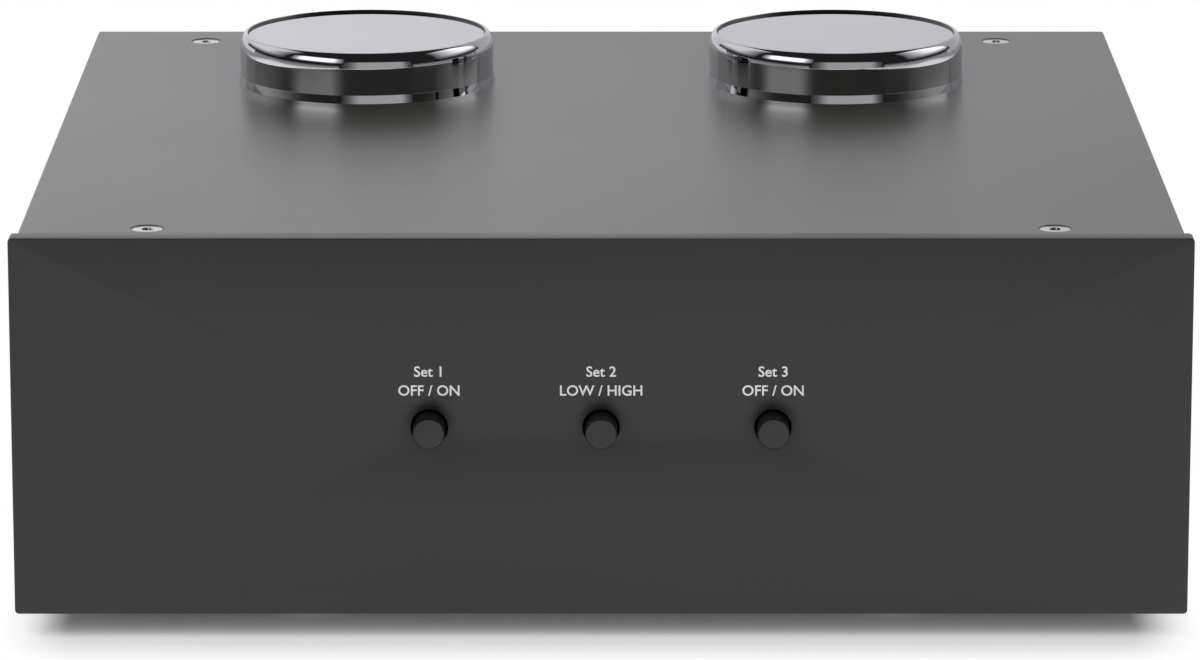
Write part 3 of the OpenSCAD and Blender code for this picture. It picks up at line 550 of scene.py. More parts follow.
@dataclass(frozen=True)
class Finish:
    """Finish of a real material, with a fine pattern in tone, gloss and relief.

    Attributes:
        name: Name of the real material.
        dark: Darker tone of the pattern, sRGB.
        light: Lighter tone of the pattern, sRGB.
        metallic: 1 for bare or plated metal, 0 for anything else.
        gloss: Roughness at the two ends of the pattern.
        grain: How the surface was worked.
        grain_mm: Width of the pattern's marks.
        relief_mm: Height of the pattern's relief.
        cloud_mm: Width of the slow change in tone and gloss over the piece.
        coat: Share of a clear layer on top.
        ior: Refraction of the surface layer, for anything but metal.
        fine_detail: Octaves of the fine pattern.
        cloud_detail: Octaves of the slow change.
        spread: Sum of both patterns at its dark and its light end.
    """

    name: str
    dark: str
    light: str
    metallic: float = 0.0
    gloss: tuple[float, float] = (0.4, 0.5)
    grain: Grain = Grain.EVEN
    grain_mm: float = 0.5
    relief_mm: float = 0.0
    cloud_mm: float = 40.0
    coat: float = 0.0
    ior: float = 1.5
    fine_detail: ClassVar[float] = 3.0
    cloud_detail: ClassVar[float] = 2.0
    spread: ClassVar[Point] = (0.7, 1.3)

    def pattern(self, tree: bpy.types.NodeTree) -> bpy.types.NodeSocket:
        """Adds the fine pattern.

        Args:
            tree: Tree of the material.

        Returns:
            Socket with the pattern, about 0.25 to 0.75.
        """
        scale = 1.0 / (self.grain_mm * MM)
        if self.grain is Grain.TURNED:
            radius = add_node(tree, "ShaderNodeAttribute", attribute_name="turn_radius")
            along = {"W": radius.outputs["Fac"], "Scale": scale, "Detail": self.fine_detail}
            return add_node(tree, NOISE, along, noise_dimensions="1D").outputs["Fac"]
        spot = add_node(tree, COORDS).outputs["Object"]
        drawn = add_node(tree, "ShaderNodeMapping", {"Vector": spot, "Scale": self.grain.value}).outputs[0]
        across = {"Vector": drawn, "Scale": scale, "Detail": self.fine_detail}
        return add_node(tree, NOISE, across).outputs["Fac"]

    def material(self) -> bpy.types.Material:
        """Builds the material, or finds it where it was built before.

        Returns:
            The material of this finish.
        """
        known = bpy.data.materials.get(self.name)
        if known:
            return known
        made, tree = empty_material(self.name)
        fine = self.pattern(tree)
        spot = add_node(tree, COORDS).outputs["Object"]
        slow = {"Vector": spot, "Scale": 1.0 / (self.cloud_mm * MM), "Detail": self.cloud_detail}
        cloud = add_node(tree, NOISE, slow).outputs["Fac"]
        both = add_node(tree, MATH, {0: fine, 1: cloud}, operation="ADD").outputs[0]
        ends = {"Value": both, "From Min": self.spread[0], "From Max": self.spread[1]}
        share = add_node(tree, RANGE, ends).outputs["Result"]
        tones = {MIX_SHARE: share, MIX_COLOURS[0]: linear(self.dark), MIX_COLOURS[1]: linear(self.light)}
        tone = add_node(tree, MIX, tones, data_type="RGBA").outputs[MIXED_COLOUR]
        ends = {"Value": share, "To Min": self.gloss[0], "To Max": self.gloss[1]}
        rough = add_node(tree, RANGE, ends).outputs["Result"]
        inputs = {"Base Color": tone, "Roughness": rough, "Metallic": self.metallic, "Coat Weight": self.coat}
        if not self.metallic:
            inputs["IOR"] = self.ior
        if self.relief_mm:
            inputs["Normal"] = add_node(
                tree, "ShaderNodeBump", {"Height": fine, "Distance": self.relief_mm * MM}
            ).outputs["Normal"]
        shader = add_node(tree, "ShaderNodeBsdfPrincipled", inputs)
        add_node(tree, "ShaderNodeOutputMaterial", {"Surface": shader.outputs[0]})
        return made


# Black anodised aluminium, brushed along its length: fine level streaks that break up the reflection
BRUSHED_BLACK = Finish(
    "anodised_aluminium_brushed", "#09090a", "#131314", gloss=(0.28, 0.38), grain=Grain.BRUSHED,
    grain_mm=0.3, relief_mm=0.004, cloud_mm=90.0,
)
# Black anodised aluminium, bead blasted: an even satin that greys at a low angle
SATIN_BLACK = Finish(
    "anodised_aluminium_satin", "#383834", "#3e3e3a", gloss=(0.27, 0.32), grain_mm=0.35, relief_mm=0.001,
    cloud_mm=120.0, ior=1.55,
)
# Black powder coat: a soft orange peel over folded steel
POWDER_BLACK = Finish(
    "powder_coat_black", "#1b1b1d", "#29292b", gloss=(0.42, 0.55), grain_mm=0.8, relief_mm=0.02,
)
# Polished chrome plate: a mirror with a faint cool tint
CHROME = Finish(
    "chrome_plate_polished", "#b6b6ba", "#bdbdc1", 1.0, (0.025, 0.05), grain_mm=0.4, cloud_mm=25.0,
)
# Painted dark reflection: black paint in the turned step between dish and rim, a thin dark line with a soft
# gloss that stands in for the dark reflection of the polished rim
PAINTED_RIM_REFLECTION = Finish("painted_rim_reflection_black", "#060607", "#0c0c0d", gloss=(0.3, 0.42), grain_mm=0.3, relief_mm=0.002)
# Stainless steel screw heads: bright, with the rings of the turning tool
STAINLESS = Finish(
    "stainless_steel_turned", "#c9c9c7", "#e6e6e4", 1.0, (0.2, 0.32), Grain.TURNED, 0.12, 0.003, cloud_mm=8.0,
)
# Black anodised button, turned: fine rings round its face
BUTTON_BLACK = Finish(
    "anodised_aluminium_turned", "#0a0a0a", "#111112", gloss=(0.3, 0.42), grain=Grain.TURNED, grain_mm=0.09,
    relief_mm=0.003, cloud_mm=10.0,
)
# Moulded rubber: matt, with a faint bloom
RUBBER = Finish(
    "rubber_moulded_black", "#161617", "#232324", gloss=(0.65, 0.8), grain_mm=0.6, relief_mm=0.02,
)
# Silk-screen ink: flat white with a slightly uneven edge of gloss
INK = Finish("screen_ink_white", "#b2b2b2", "#c4c4c4", gloss=(0.5, 0.6), grain_mm=0.15, relief_mm=0.002)
# Spring steel wire: drawn, bright with a bluish cast
SPRING_STEEL = Finish(
    "spring_steel_wire", "#a9acb0", "#c8cacd", 1.0, (0.25, 0.38), grain_mm=0.2, cloud_mm=6.0,
)
# Nickel plate over die-cast zinc: satin and slightly warm
NICKEL = Finish(
    "nickel_plate_satin", "#b9b7b0", "#d0cec8", 1.0, (0.24, 0.36), grain_mm=0.3, relief_mm=0.002,
)
# Gold plate on turned brass: bright rings of the tool
GOLD = Finish(
    "gold_plate_turned", "#d8b25c", "#edcf86", 1.0, (0.16, 0.28), Grain.TURNED, 0.1, 0.002, cloud_mm=7.0,
)
# Black moulded plastic: fine spark-eroded grain
PLASTIC_BLACK = Finish(
    "plastic_moulded_black", "#19191a", "#272728", gloss=(0.4, 0.52), grain_mm=0.2, relief_mm=0.006,
)
# White moulded plastic: soft and slightly translucent to the eye
PLASTIC_WHITE = Finish(
    "plastic_moulded_white", "#dedcd4", "#efeee9", gloss=(0.35, 0.48), grain_mm=0.3, relief_mm=0.004,
)
# Red moulded plastic ring
PLASTIC_RED = Finish(
    "plastic_moulded_red", "#a01a22", "#b92730", gloss=(0.32, 0.45), grain_mm=0.3, relief_mm=0.004,
)
# White moulded plastic ring
RING_WHITE = Finish(
    "plastic_ring_white", "#dfdfdb", "#efefec", gloss=(0.32, 0.45), grain_mm=0.3, relief_mm=0.004,
)
# Cream switch housing
SWITCH_CREAM = Finish(
    "plastic_switch_cream", "#d3d0c4", "#e4e2d8", gloss=(0.4, 0.52), grain_mm=0.25, relief_mm=0.005,
)
# Glass-fibre board under green solder mask: weave shows as a slow mottling
BOARD_GREEN = Finish(
    "circuit_board_green", "#124528", "#1d5e38", gloss=(0.25, 0.4), grain_mm=1.1, relief_mm=0.004,
)
# Annealed shield metal: dull grey with heat bloom
SHIELD = Finish(
    "shield_alloy_annealed", "#8f8d88", "#b3b0a9", 1.0, (0.36, 0.52), grain_mm=0.5, cloud_mm=14.0,
)
# Wound core strip: fine edges of the tape
CORE_STRIP = Finish(
    "core_strip_wound", "#5d5a55", "#8c8780", 1.0, (0.3, 0.5), grain_mm=0.25, relief_mm=0.01,
)
# Enamelled copper wire: deep red-brown under a glossy lacquer
COPPER = Finish("copper_wire_enamelled", "#9a4a25", "#c46c3c", 1.0, (0.2, 0.32), grain_mm=0.3, coat=0.6)
# Woven sleeve of the leads
SLEEVE = Finish("lead_sleeve_dark", "#26282e", "#3c3f47", gloss=(0.55, 0.7), grain_mm=0.4, relief_mm=0.03)
# Grey ribbon cable: ribs along its run
RIBBON = Finish(
    "ribbon_cable_grey", "#9fa2a8", "#c3c5ca", gloss=(0.4, 0.52), grain=Grain.LAID,
    grain_mm=0.9, relief_mm=0.05,
)

SLOT_FINISH: dict[str, Finish] = {
    "panel_anodised": BRUSHED_BLACK,
    "lid_anodised": SATIN_BLACK,
    "chassis_steel": POWDER_BLACK,
    "rear_steel": POWDER_BLACK,
    "screw_steel": STAINLESS,
    "cap_chrome": CHROME,
    "foot_rubber": RUBBER,
    "button_black": BUTTON_BLACK,
    "switch_plastic": SWITCH_CREAM,
    "spring_steel": SPRING_STEEL,
    "board": BOARD_GREEN,
    "shield_metal": SHIELD,
    "core_metal": CORE_STRIP,
    "copper": COPPER,
    "lead_sleeve": SLEEVE,
    "ribbon": RIBBON,
    "black_plastic": PLASTIC_BLACK,
    "nickel": NICKEL,
    "gold": GOLD,
    "ring_white": RING_WHITE,
    "ring_red": PLASTIC_RED,
    "white_plastic": PLASTIC_WHITE,
}


@dataclass
class Piece:
    """Finished mesh that stands in for CAD nodes, or is trim of its own with a finish and a body."""

    name: str
    data: bpy.types.Mesh
    nodes: tuple[str, ...]
    finish: Finish | None = None
    body: str | None = None

    def stand(self) -> bpy.types.Object:
        """Puts the piece in place of its nodes, on their body and with their finish.

        Returns:
            The object of the piece.
        """
        made = plain_object(self.name, self.data)
        body = self.body or BODY_OF[self.nodes[0]]
        finish = self.finish or SLOT_FINISH[SLOT_OF[self.nodes[0]]]
        self.data.materials.clear()
        self.data.materials.append(finish.material())
        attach(made, body)
        if self.nodes:
            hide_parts(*self.nodes)
        return made


@dataclass
class Assembly:
    """Part of the box: its meshes are built first and dressed after."""

    pieces: list[Piece] = field(default_factory=list, init=False)

    def add(
        self, name: str, made: Shape | bpy.types.Mesh, *nodes: str, finish: Finish | None = None,
        body: str | None = None,
    ) -> None:
        """Keeps a finished shape or mesh as a piece.

        Args:
            name: Name of the piece.
            made: Shape or mesh of the piece.
            *nodes: CAD nodes that it stands in for.
            finish: Finish, where it stands in for no node.
            body: Body, where it stands in for no node.
        """
        data = made.mesh(name) if isinstance(made, Shape) else made
        self.pieces.append(Piece(name, data, nodes, finish, body))

    def build(self) -> None:
        """Makes the meshes of the part."""
        raise NotImplementedError

    def dress(self) -> None:
        """Puts the meshes in place of the CAD nodes with their finishes."""
        for piece in self.pieces:
            piece.stand()


class NodeTool:
    """Geometry Nodes tree with named inputs, baked into plain meshes."""

    def __init__(self, name: str, inputs: dict[str, str]) -> None:
        """Starts the tree.

        Args:
            name: Name of the tree.
            inputs: Socket type of each named input.
        """
        self.tree = bpy.data.node_groups.new(name, "GeometryNodeTree")
        self.tree.interface.new_socket("Geometry", in_out="INPUT", socket_type="NodeSocketGeometry")
        self.tree.interface.new_socket("Geometry", in_out="OUTPUT", socket_type="NodeSocketGeometry")
        self.keys = {
            label: self.tree.interface.new_socket(label, in_out="INPUT", socket_type=kind).identifier
            for label, kind in (inputs | {"Material": "NodeSocketMaterial"}).items()
        }
        self.start = add_node(self.tree, "NodeGroupInput")

    def end(self, geometry: bpy.types.NodeSocket) -> None:
        """Realises what the tree makes and hands it on with its material.

        Args:
            geometry: Socket with the geometry.
        """
        real = add_node(self.tree, "GeometryNodeRealizeInstances", {"Geometry": geometry})
        dressed = add_node(
            self.tree, "GeometryNodeSetMaterial",
            {"Geometry": real.outputs[0], "Material": self.start.outputs["Material"]},
        )
        add_node(self.tree, "NodeGroupOutput", {"Geometry": dressed.outputs[0]})

    def bake(self, name: str, base: bpy.types.Mesh, **values: object) -> bpy.types.Mesh:
        """Runs the tree on a mesh.

        Args:
            name: Name of the mesh made.
            base: Mesh the tree starts from.
            **values: Value of each named input, with underscores for blanks.

        Returns:
            A plain mesh.
        """
        holder = plain_object(f"{name}_holder", base)
        modifier = holder.modifiers.new("tool", "NODES")
        modifier.node_group = self.tree
        for label, value in values.items():
            modifier[self.keys[label.replace("_", " ")]] = value
        evaluated = holder.evaluated_get(bpy.context.evaluated_depsgraph_get())
        made = bpy.data.meshes.new_from_object(evaluated)
        made.name = name
        bpy.data.objects.remove(holder)
        return made


class Scatter(NodeTool):
    """Sets one prototype on many points, each turned by chance about its own axis."""

    def __init__(self) -> None:
        """Builds the tree."""
        super().__init__(
            "scatter_prototype",
            {
                "Prototype": "NodeSocketObject",
                "Turn": "NodeSocketRotation",
                "Spin": "NodeSocketFloat",
                "Seed": "NodeSocketInt",
            },
        )
        given = self.start.outputs
        source = add_node(
            self.tree, "GeometryNodeObjectInfo", {"Object": given["Prototype"], "As Instance": True}
        )
        # Sockets 2 and 3 are the least and the largest number
        chance = {2: 0.0, 3: given["Spin"], "Seed": given["Seed"]}
        spin = add_node(self.tree, "FunctionNodeRandomValue", chance, data_type="FLOAT")
        angle = add_node(self.tree, "ShaderNodeCombineXYZ", {"Z": spin.outputs[1]})
        own = add_node(self.tree, "FunctionNodeEulerToRotation", {0: angle.outputs[0]})
        turn = add_node(
            self.tree, "FunctionNodeRotateRotation", {"Rotation": given["Turn"], "Rotate By": own.outputs[0]},
            rotation_space="LOCAL",
        )
        placed = add_node(
            self.tree, "GeometryNodeInstanceOnPoints",
            {
                "Points": given["Geometry"], "Instance": source.outputs["Geometry"],
                "Rotation": turn.outputs[0],
            },
        )
        self.end(placed.outputs[0])

    def spread(
        self, name: str, shape: Shape, spots: Iterable[Vector], turn: Matrix = Matrix(), spin: float = 0.0,
        seed: int = 7,
    ) -> bpy.types.Mesh:
        """Sets a shape on points.

        Args:
            name: Name of the mesh made.
            shape: Prototype about its own Z axis.
            spots: Places in millimetres.
            turn: Rotation from the prototype's axes to the frame.
            spin: Largest chance turn about its own axis in radians.
            seed: Seed of the chance turns.

        Returns:
            One mesh with all copies.
        """
        prototype = plain_object(f"{name}_prototype", shape.mesh(f"{name}_prototype"))
        points = bpy.data.meshes.new(f"{name}_points")
        points.from_pydata([tuple(p * MM) for p in spots], [], [])
        made = self.bake(name, points, Prototype=prototype, Turn=turn.to_euler(), Spin=spin, Seed=seed)
        bpy.data.objects.remove(prototype)
        return made


class WoundSpring(NodeTool):
    """Winds a round wire into a coil along +Y."""

    turn_steps: ClassVar[int] = 40
    wire_steps: ClassVar[int] = 10

    def __init__(self) -> None:
        """Builds the tree."""
        super().__init__(
            "wound_spring",
            {
                "Turns": "NodeSocketFloat",
                "Coil Radius": "NodeSocketFloat",
                "Wire Radius": "NodeSocketFloat",
                "Length": "NodeSocketFloat",
                "Start": "NodeSocketVector",
            },
        )
        given = self.start.outputs
        coil = add_node(
            self.tree, "GeometryNodeCurveSpiral",
            {
                "Resolution": self.turn_steps, "Rotations": given["Turns"], "Height": given["Length"],
                "Start Radius": given["Coil Radius"], "End Radius": given["Coil Radius"],
            },
        )
        wire = add_node(
            self.tree, "GeometryNodeCurvePrimitiveCircle",
            {"Resolution": self.wire_steps, "Radius": given["Wire Radius"]},
        )
        swept = add_node(
            self.tree, "GeometryNodeCurveToMesh",
            {"Curve": coil.outputs[0], "Profile Curve": wire.outputs[0], "Fill Caps": True},
        )
        laid = add_node(
            self.tree, "GeometryNodeTransform",
            {"Geometry": swept.outputs[0], "Translation": given["Start"], "Rotation": LAID_BACK},
        )
        self.end(laid.outputs[0])


@dataclass
class FrontPanel(Assembly):
    """Thick plate with three button holes, and blind tapped holes in its back."""

    corner: float = 0.7
    edge: float = 0.15
    edge_steps: int = 4
    hole_radius: float = 3.22
    hole_edge: float = 0.1
    tapped_radius: float = 1.55
    tapped_depth: float = 3.2
    tapped_edge: float = 0.05
    buttons: ClassVar[tuple[str, ...]] = ("button_input", "button_gain", "button_output")

    def build(self) -> None:
        """Makes the plate."""
        box = node_box("front_panel")
        outline = RoundRect(box.size.x, box.size.z, self.corner, (box.centre.x, box.centre.z))
        holes = []
        for node in self.buttons:
            spot = node_box(node).centre
            holes.append(Hole(Circle(self.hole_radius, (spot.x, spot.z)), edge=self.hole_edge))
        for screw in solids("panel_screws"):
            tapped = Circle(self.tapped_radius, (screw.centre.x, screw.centre.z), Steps.SMALL)
            holes.append(Hole(tapped, self.tapped_depth, self.tapped_edge))
        place = Matrix.Translation((0, box.lo.y, 0)) @ FACE_FRONT
        plate = Shape().plate(outline, box.size.y, self.edge, holes, place, self.edge_steps)
        self.add("front_panel_plate", plate, "front_panel")


@dataclass
class PanelPrint(Assembly):
    """Two lines of plain white print above each button: its number, and its two positions."""

    letter_height: float = 1.9
    first_rise: float = 10.11
    second_rise: float = 6.72
    bolder: float = 0.03
    ink: float = 0.02
    cap_share: float = 0.73
    curve_steps: int = 4
    lines: ClassVar[dict[str, tuple[str, str]]] = {
        "button_input": ("Set 1", "OFF / ON"),
        "button_gain": ("Set 2", "LOW / HIGH"),
        "button_output": ("Set 3", "OFF / ON"),
    }

    def lettering(self, text: str, spot: Vector) -> bpy.types.Mesh:
        """Makes a line of print as a thin layer of ink.

        Args:
            text: Words of the line.
            spot: Middle of the line on the panel's face.

        Returns:
            Mesh of the line in metres.
        """
        curve = bpy.data.curves.new("line", "FONT")
        curve.body = text
        curve.align_x = "CENTER"
        curve.size = self.letter_height / self.cap_share
        curve.extrude = self.ink / 2
        curve.offset = self.bolder
        curve.resolution_u = self.curve_steps
        holder = plain_object("line", curve)
        evaluated = holder.evaluated_get(bpy.context.evaluated_depsgraph_get())
        made = bpy.data.meshes.new_from_object(evaluated)
        bpy.data.objects.remove(holder)
        bpy.data.curves.remove(curve)
        lower = Vector((spot.x, spot.y - self.ink / 2, spot.z - self.letter_height / 2))
        made.transform(Matrix.Scale(MM, 4) @ Matrix.Translation(lower) @ TO_FRONT)
        return made

    def build(self) -> None:
        """Makes all lines as one mesh."""
        face = node_box("front_panel").lo.y
        found = []
        for node, words in self.lines.items():
            middle = node_box(node).centre
            for text, rise in zip(words, (self.first_rise, self.second_rise)):
                found.append(self.lettering(text, Vector((middle.x, face, middle.z + rise))))
        data = joined("panel_print", found)
        self.add("panel_print", data, finish=INK, body=BODY_OF["front_panel"])


@dataclass
class Lid(Assembly):
    """Folded lid: top with countersunk screw holes and cap openings, and two sides."""

    sheet: float = 2.0
    bend: float = 0.5
    bend_steps: int = 6
    edge: float = 0.2
    sink_radius: float = 3.0
    pass_radius: float = 1.7
    opening_radius: float = 23.5

    def section(self, box: Box, inset: float) -> list[Point]:
        """Outer half of the lid's section, from the left foot over the top to the right foot.

        Args:
            box: Box of the lid.
            inset: Distance the section is moved inward.

        Returns:
            Points as pairs of X and Z.
        """
        middle = (box.hi.x - self.bend, box.hi.z - self.bend)
        bend = arc(middle, self.bend - inset, 0.0, 90.0, self.bend_steps)
        right = [(box.hi.x - inset, box.lo.z), *bend]
        left = [(-x, z) for x, z in right]
        return left + right[::-1]

    def build(self) -> None:
        """Makes the folded sheet."""
        box = node_box("top_cover")
        shape = Shape()
        stations = [
            (box.lo.y, self.edge), (box.lo.y + self.edge, 0.0),
            (box.hi.y - self.edge, 0.0), (box.hi.y, self.edge),
        ]
        outer = [shape.loop((x, y, z) for x, z in self.section(box, inset)) for y, inset in stations]
        half = len(outer[0]) // 2
        shape.wall(outer[:2], ring=False)
        shape.wall(outer[2:], ring=False)
        for part in (slice(0, half), slice(half, None)):
            shape.wall([outer[1][part], outer[2][part]], ring=False)
        left, right, under = box.lo.x + self.sheet, box.hi.x - self.sheet, box.hi.z - self.sheet
        inside = [(left, box.lo.z), (left, under), (right, under), (right, box.lo.z)]
        inner = [shape.loop((x, y, z) for x, z in inside) for y in (box.lo.y, box.hi.y)]
        for part in (slice(0, 2), slice(2, 4)):
            shape.wall([inner[0][part], inner[1][part]], ring=False)
        tops = [[outer[1][half - 1], outer[1][half], outer[2][half], outer[2][half - 1]]]
        unders = [[inner[0][1], inner[0][2], inner[1][2], inner[1][1]]]
        for spot, levels in self.holes(box):
            rows = [shape.loop((x, y, z) for x, y in Circle(r, spot).points()) for r, z in levels]
            shape.wall(rows)
            tops.append(rows[0])
            unders.append(rows[-1])
        shape.flat(tops)
        shape.flat(unders)
        for row, inner_row in ((outer[0], inner[0]), (outer[3], inner[1])):
            shape.flat([row + inner_row[::-1]])
        for end in (0, -1):
            foot = [row[end] for row in outer] + [row[end] for row in inner[::-1]]
            shape.form.faces.new(foot)
        self.add("top_cover_sheet", shape, "top_cover")

    def holes(self, box: Box) -> list[tuple[Point, list[Point]]]:
        """Places of the holes, and their radius at each height.

        Args:
            box: Box of the lid.

        Returns:
            Pairs of a middle, and radius and height from top to underside.
        """
        top, under = box.hi.z, box.hi.z - self.sheet
        sunk = [
            (self.sink_radius, top), (self.pass_radius, top - self.sink_radius + self.pass_radius),
            (self.pass_radius, under),
        ]
        opening = [(self.opening_radius, top), (self.opening_radius, under)]
        screws = [(screw.centre, sunk) for screw in solids("cover_screws")]
        caps = [(node_box(node).centre, opening) for node in CAPS]
        return [((spot.x, spot.y), levels) for spot, levels in screws + caps]


@dataclass
class Screws(Assembly):
    """Countersunk and pan head screws with a hexagon socket.

    The shares give parts of the socket against half its width across the flats.
    """

    scatter: Scatter
    shank: float = 1.5
    shank_tip: float = 0.3
    pan_head: float = 2.75
    pan_height: float = 1.8
    crown: float = 0.5
    crown_inset: float = 0.6
    crown_steps: int = 6
    key: float = 2.0
    key_depth: float = 1.1
    face_share: float = 1.3
    mouth_share: float = 1.22
    lead_in_share: float = 0.16
    drill_share: float = 0.8
    drill_step: float = 0.05
    drill_depth: float = 0.3
    edge: float = 0.12
    rim: float = 0.25
    rim_start: float = 30.0
    rim_steps: int = 4
    spin: float = math.pi / 3
    lid_seed: int = 3
    rear_seed: int = 5

    def shaft(self, length: float) -> list[Point]:
        """Lower end of a shank.

        Args:
            length: Length below height 0.

        Returns:
            Pairs of radius and height from the axis up to the shank.
        """
        tip = self.shank_tip
        return [(0.0, -length), (self.shank - tip, -length), (self.shank, -length + tip)]

    def socket(self, top: float) -> list[Ring | Point]:
        """Rings of a hexagon socket with a drilled floor.

        Args:
            top: Height of the head's face.

        Returns:
            Rings from the head's face down to the axis.
        """
        flat, floor = self.key / 2, top - self.key_depth
        return [
            (flat * self.face_share, top), (flat * self.mouth_share, top),
            Ring(flat, top - flat * self.lead_in_share, HEXAGON), Ring(flat, floor, HEXAGON),
            (flat * self.drill_share, floor - self.drill_step), (0.0, floor - self.drill_depth),
        ]

    def sunk(self, head: float, length: float) -> Shape:
        """Prototype of a countersunk screw, its face at Z = 0.

        Args:
            head: Radius of the head.
            length: Length under the face.

        Returns:
            The screw about its own axis.
        """
        rim = arc((head - self.rim, -self.rim), self.rim, self.rim_start, 90.0, self.rim_steps)
        profile = [
            *self.shaft(length), (self.shank, self.shank - head), (head, -self.rim / 2), *rim,
            *self.socket(0.0),
        ]
        return Shape().turned(profile, segments=Steps.SCREW)

    def pan(self, length: float) -> Shape:
        """Prototype of a pan head screw, its seat at Z = 0.

        Args:
            length: Length of the shank.

        Returns:
            The screw about its own axis.
        """
        middle = (self.pan_head - self.crown, self.pan_height - self.crown)
        profile = [
            *self.shaft(length), (self.shank, 0.0), (self.pan_head - self.edge, 0.0),
            (self.pan_head, self.edge),
            *arc(middle, self.crown, 0.0, 90.0, self.crown_steps),
            (self.pan_head - self.crown_inset, self.pan_height), *self.socket(self.pan_height),
        ]
        return Shape().turned(profile, segments=Steps.SCREW)

    def build(self) -> None:
        """Makes the lid's screws and the screws of the rear panel and sockets."""
        lid = solids("cover_screws")
        tops = [Vector((s.centre.x, s.centre.y, s.hi.z)) for s in lid]
        shape = self.sunk(lid[0].size.x / 2, lid[0].size.z)
        data = self.scatter.spread("lid_screws", shape, tops, spin=self.spin, seed=self.lid_seed)
        self.add("lid_screws", data, "cover_screws")
        for node in ("rear_panel_screws", "socket_screws"):
            found = solids(node)
            seats = [Vector((s.centre.x, s.hi.y - self.pan_height, s.centre.z)) for s in found]
            shape = self.pan(found[0].size.y - self.pan_height)
            data = self.scatter.spread(f"{node}_set", shape, seats, TO_REAR, self.spin, self.rear_seed)
            self.add(f"{node}_set", data, node)


@dataclass
class Caps(Assembly):
    """Two polished caps, turned, with a dished top, a rim whose step carries a painted black line as its dark
    reflection, a round shoulder and a flared foot.
    """

    wall: float = 24.7
    edge_width: float = 1.5
    edge_height: float = 3.8
    fullness: float = 2.2
    rim: float = 0.3
    dish: float = 0.45
    slope: float = 0.26
    lining: float = 0.03
    flare: float = 0.26
    flare_height: float = 1.6
    roof: float = 1.25
    spigot: float = 23.4
    inner: float = 21.8
    support: float = 0.06
    steps: int = 36

    def profile(self, box: Box, seat: float) -> list[Point]:
        """Section of a cap.

        Args:
            box: Box of the cap.
            seat: Height of the lid's face.

        Returns:
            Pairs of radius and height from the dish's middle round to the roof's middle.
        """
        top, floor = box.hi.z, box.hi.z - self.dish
        crest = self.wall - self.edge_width
        dish = crest - self.rim
        step = dish + self.slope
        waist = seat + self.flare_height
        turns = [math.pi / 2 * i / self.steps for i in range(self.steps + 1)]
        power = 2 / self.fullness
        rises = [(math.sin(a) ** power, 1 - math.cos(a) ** power) for a in turns]
        shoulder = [(crest + self.edge_width * out, top - self.edge_height * down) for out, down in rises]
        lean = self.flare / self.flare_height
        return [
            (0.0, floor), (dish / 2, floor), (dish - self.support, floor), (dish, floor),
            (step - self.support, top - self.support), (step, top), *shoulder,
            (self.wall, top - self.edge_height - self.support), (self.wall, waist + self.support),
            (self.wall, waist), (self.wall + lean * self.support, waist - self.support),
            (self.wall + self.flare, seat), (self.spigot, seat), (self.spigot, box.lo.z),
            (self.inner, box.lo.z), (self.inner, floor - self.roof), (0.0, floor - self.roof),
        ]

    def line(self, box: Box) -> list[Point]:
        """Section of the black line in the step between dish and rim, painted there as the rim's dark
        reflection.

        Args:
            box: Box of the cap.

        Returns:
            Closed row of pairs of radius and height.
        """
        floor, top = box.hi.z - self.dish, box.hi.z - self.support
        inner = self.wall - self.edge_width - self.rim
        outer = inner + self.slope
        return [
            (inner - self.lining, floor), (outer, floor), (outer - self.support, top),
            (outer - self.support - self.lining, top),
        ]

    def build(self) -> None:
        """Makes both caps, with the painted black line of the rim's dark reflection in their step."""
        seat = node_box("top_cover").hi.z
        for node in CAPS:
            box = node_box(node)
            place = Matrix.Translation((box.centre.x, box.centre.y, 0.0))
            shape = Shape().turned(self.profile(box, seat), place, Steps.CAP)
            self.add(f"{node}_turned", shape, node)
            # Painted dark reflection: a thin black ring in the rim's step stands in for the dark reflection
            # of the polished rim
            shape = Shape().turned(self.line(box), place, Steps.CAP, closed=True)
            self.add(f"{node}_line", shape, finish=PAINTED_RIM_REFLECTION, body=BODY_OF[node])


@dataclass
class PushButtons(Assembly):
    """Three turned buttons, each with its return spring."""

    coil: WoundSpring
    chamfer: float = 0.25
    support: float = 0.05
    soft: float = 0.07
    run_out: float = 0.06
    bore: float = 1.95
    grip: float = 6.0
    coil_radius: float = 2.4
    wire: float = 0.4
    turns: float = 5.0
    joints: ClassVar[dict[str, str]] = {
        "input": "input_press",
        "gain": "gain_press",
        "output": "output_press",
    }

    def build(self) -> None:
        """Makes the buttons and springs."""
        for name in self.joints:
            box = node_box(f"button_{name}")
            radius, end = box.size.x / 2, box.size.y
            face = radius - self.chamfer
            profile = [
                (0.0, 0.0), (radius / 2, 0.0), (face - self.support, 0.0), (face, 0.0),
                (radius - self.soft, self.chamfer - self.soft), (radius, self.chamfer + self.run_out),
                (radius, end), (self.bore, end), (self.bore, end - self.grip), (0.0, end - self.grip),
            ]
            place = Matrix.Translation((box.centre.x, box.lo.y, box.centre.z)) @ TO_REAR
            self.add(f"button_{name}_turned", Shape().turned(profile, place), f"button_{name}")
            self.spring(name)

    def spring(self, name: str) -> None:
        """Makes a return spring.

        Args:
            name: Which button it belongs to.
        """
        box = node_box(f"spring_{name}")
        start = Vector((box.centre.x, box.lo.y + self.wire / 2, box.centre.z))
        data = self.coil.bake(
            f"spring_{name}_coil", bpy.data.meshes.new("empty"), Turns=self.turns,
            Coil_Radius=self.coil_radius * MM, Wire_Radius=self.wire / 2 * MM,
            Length=(box.size.y - self.wire) * MM, Start=start * MM,
        )
        data.shade_smooth()
        self.add(f"spring_{name}_coil", data, f"spring_{name}")

    def dress(self) -> None:
        """Puts the pieces in place; each spring gets a mesh of its own."""
        for piece in self.pieces:
            made = piece.stand()
            if piece.nodes[0].startswith("spring_"):
                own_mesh(made)


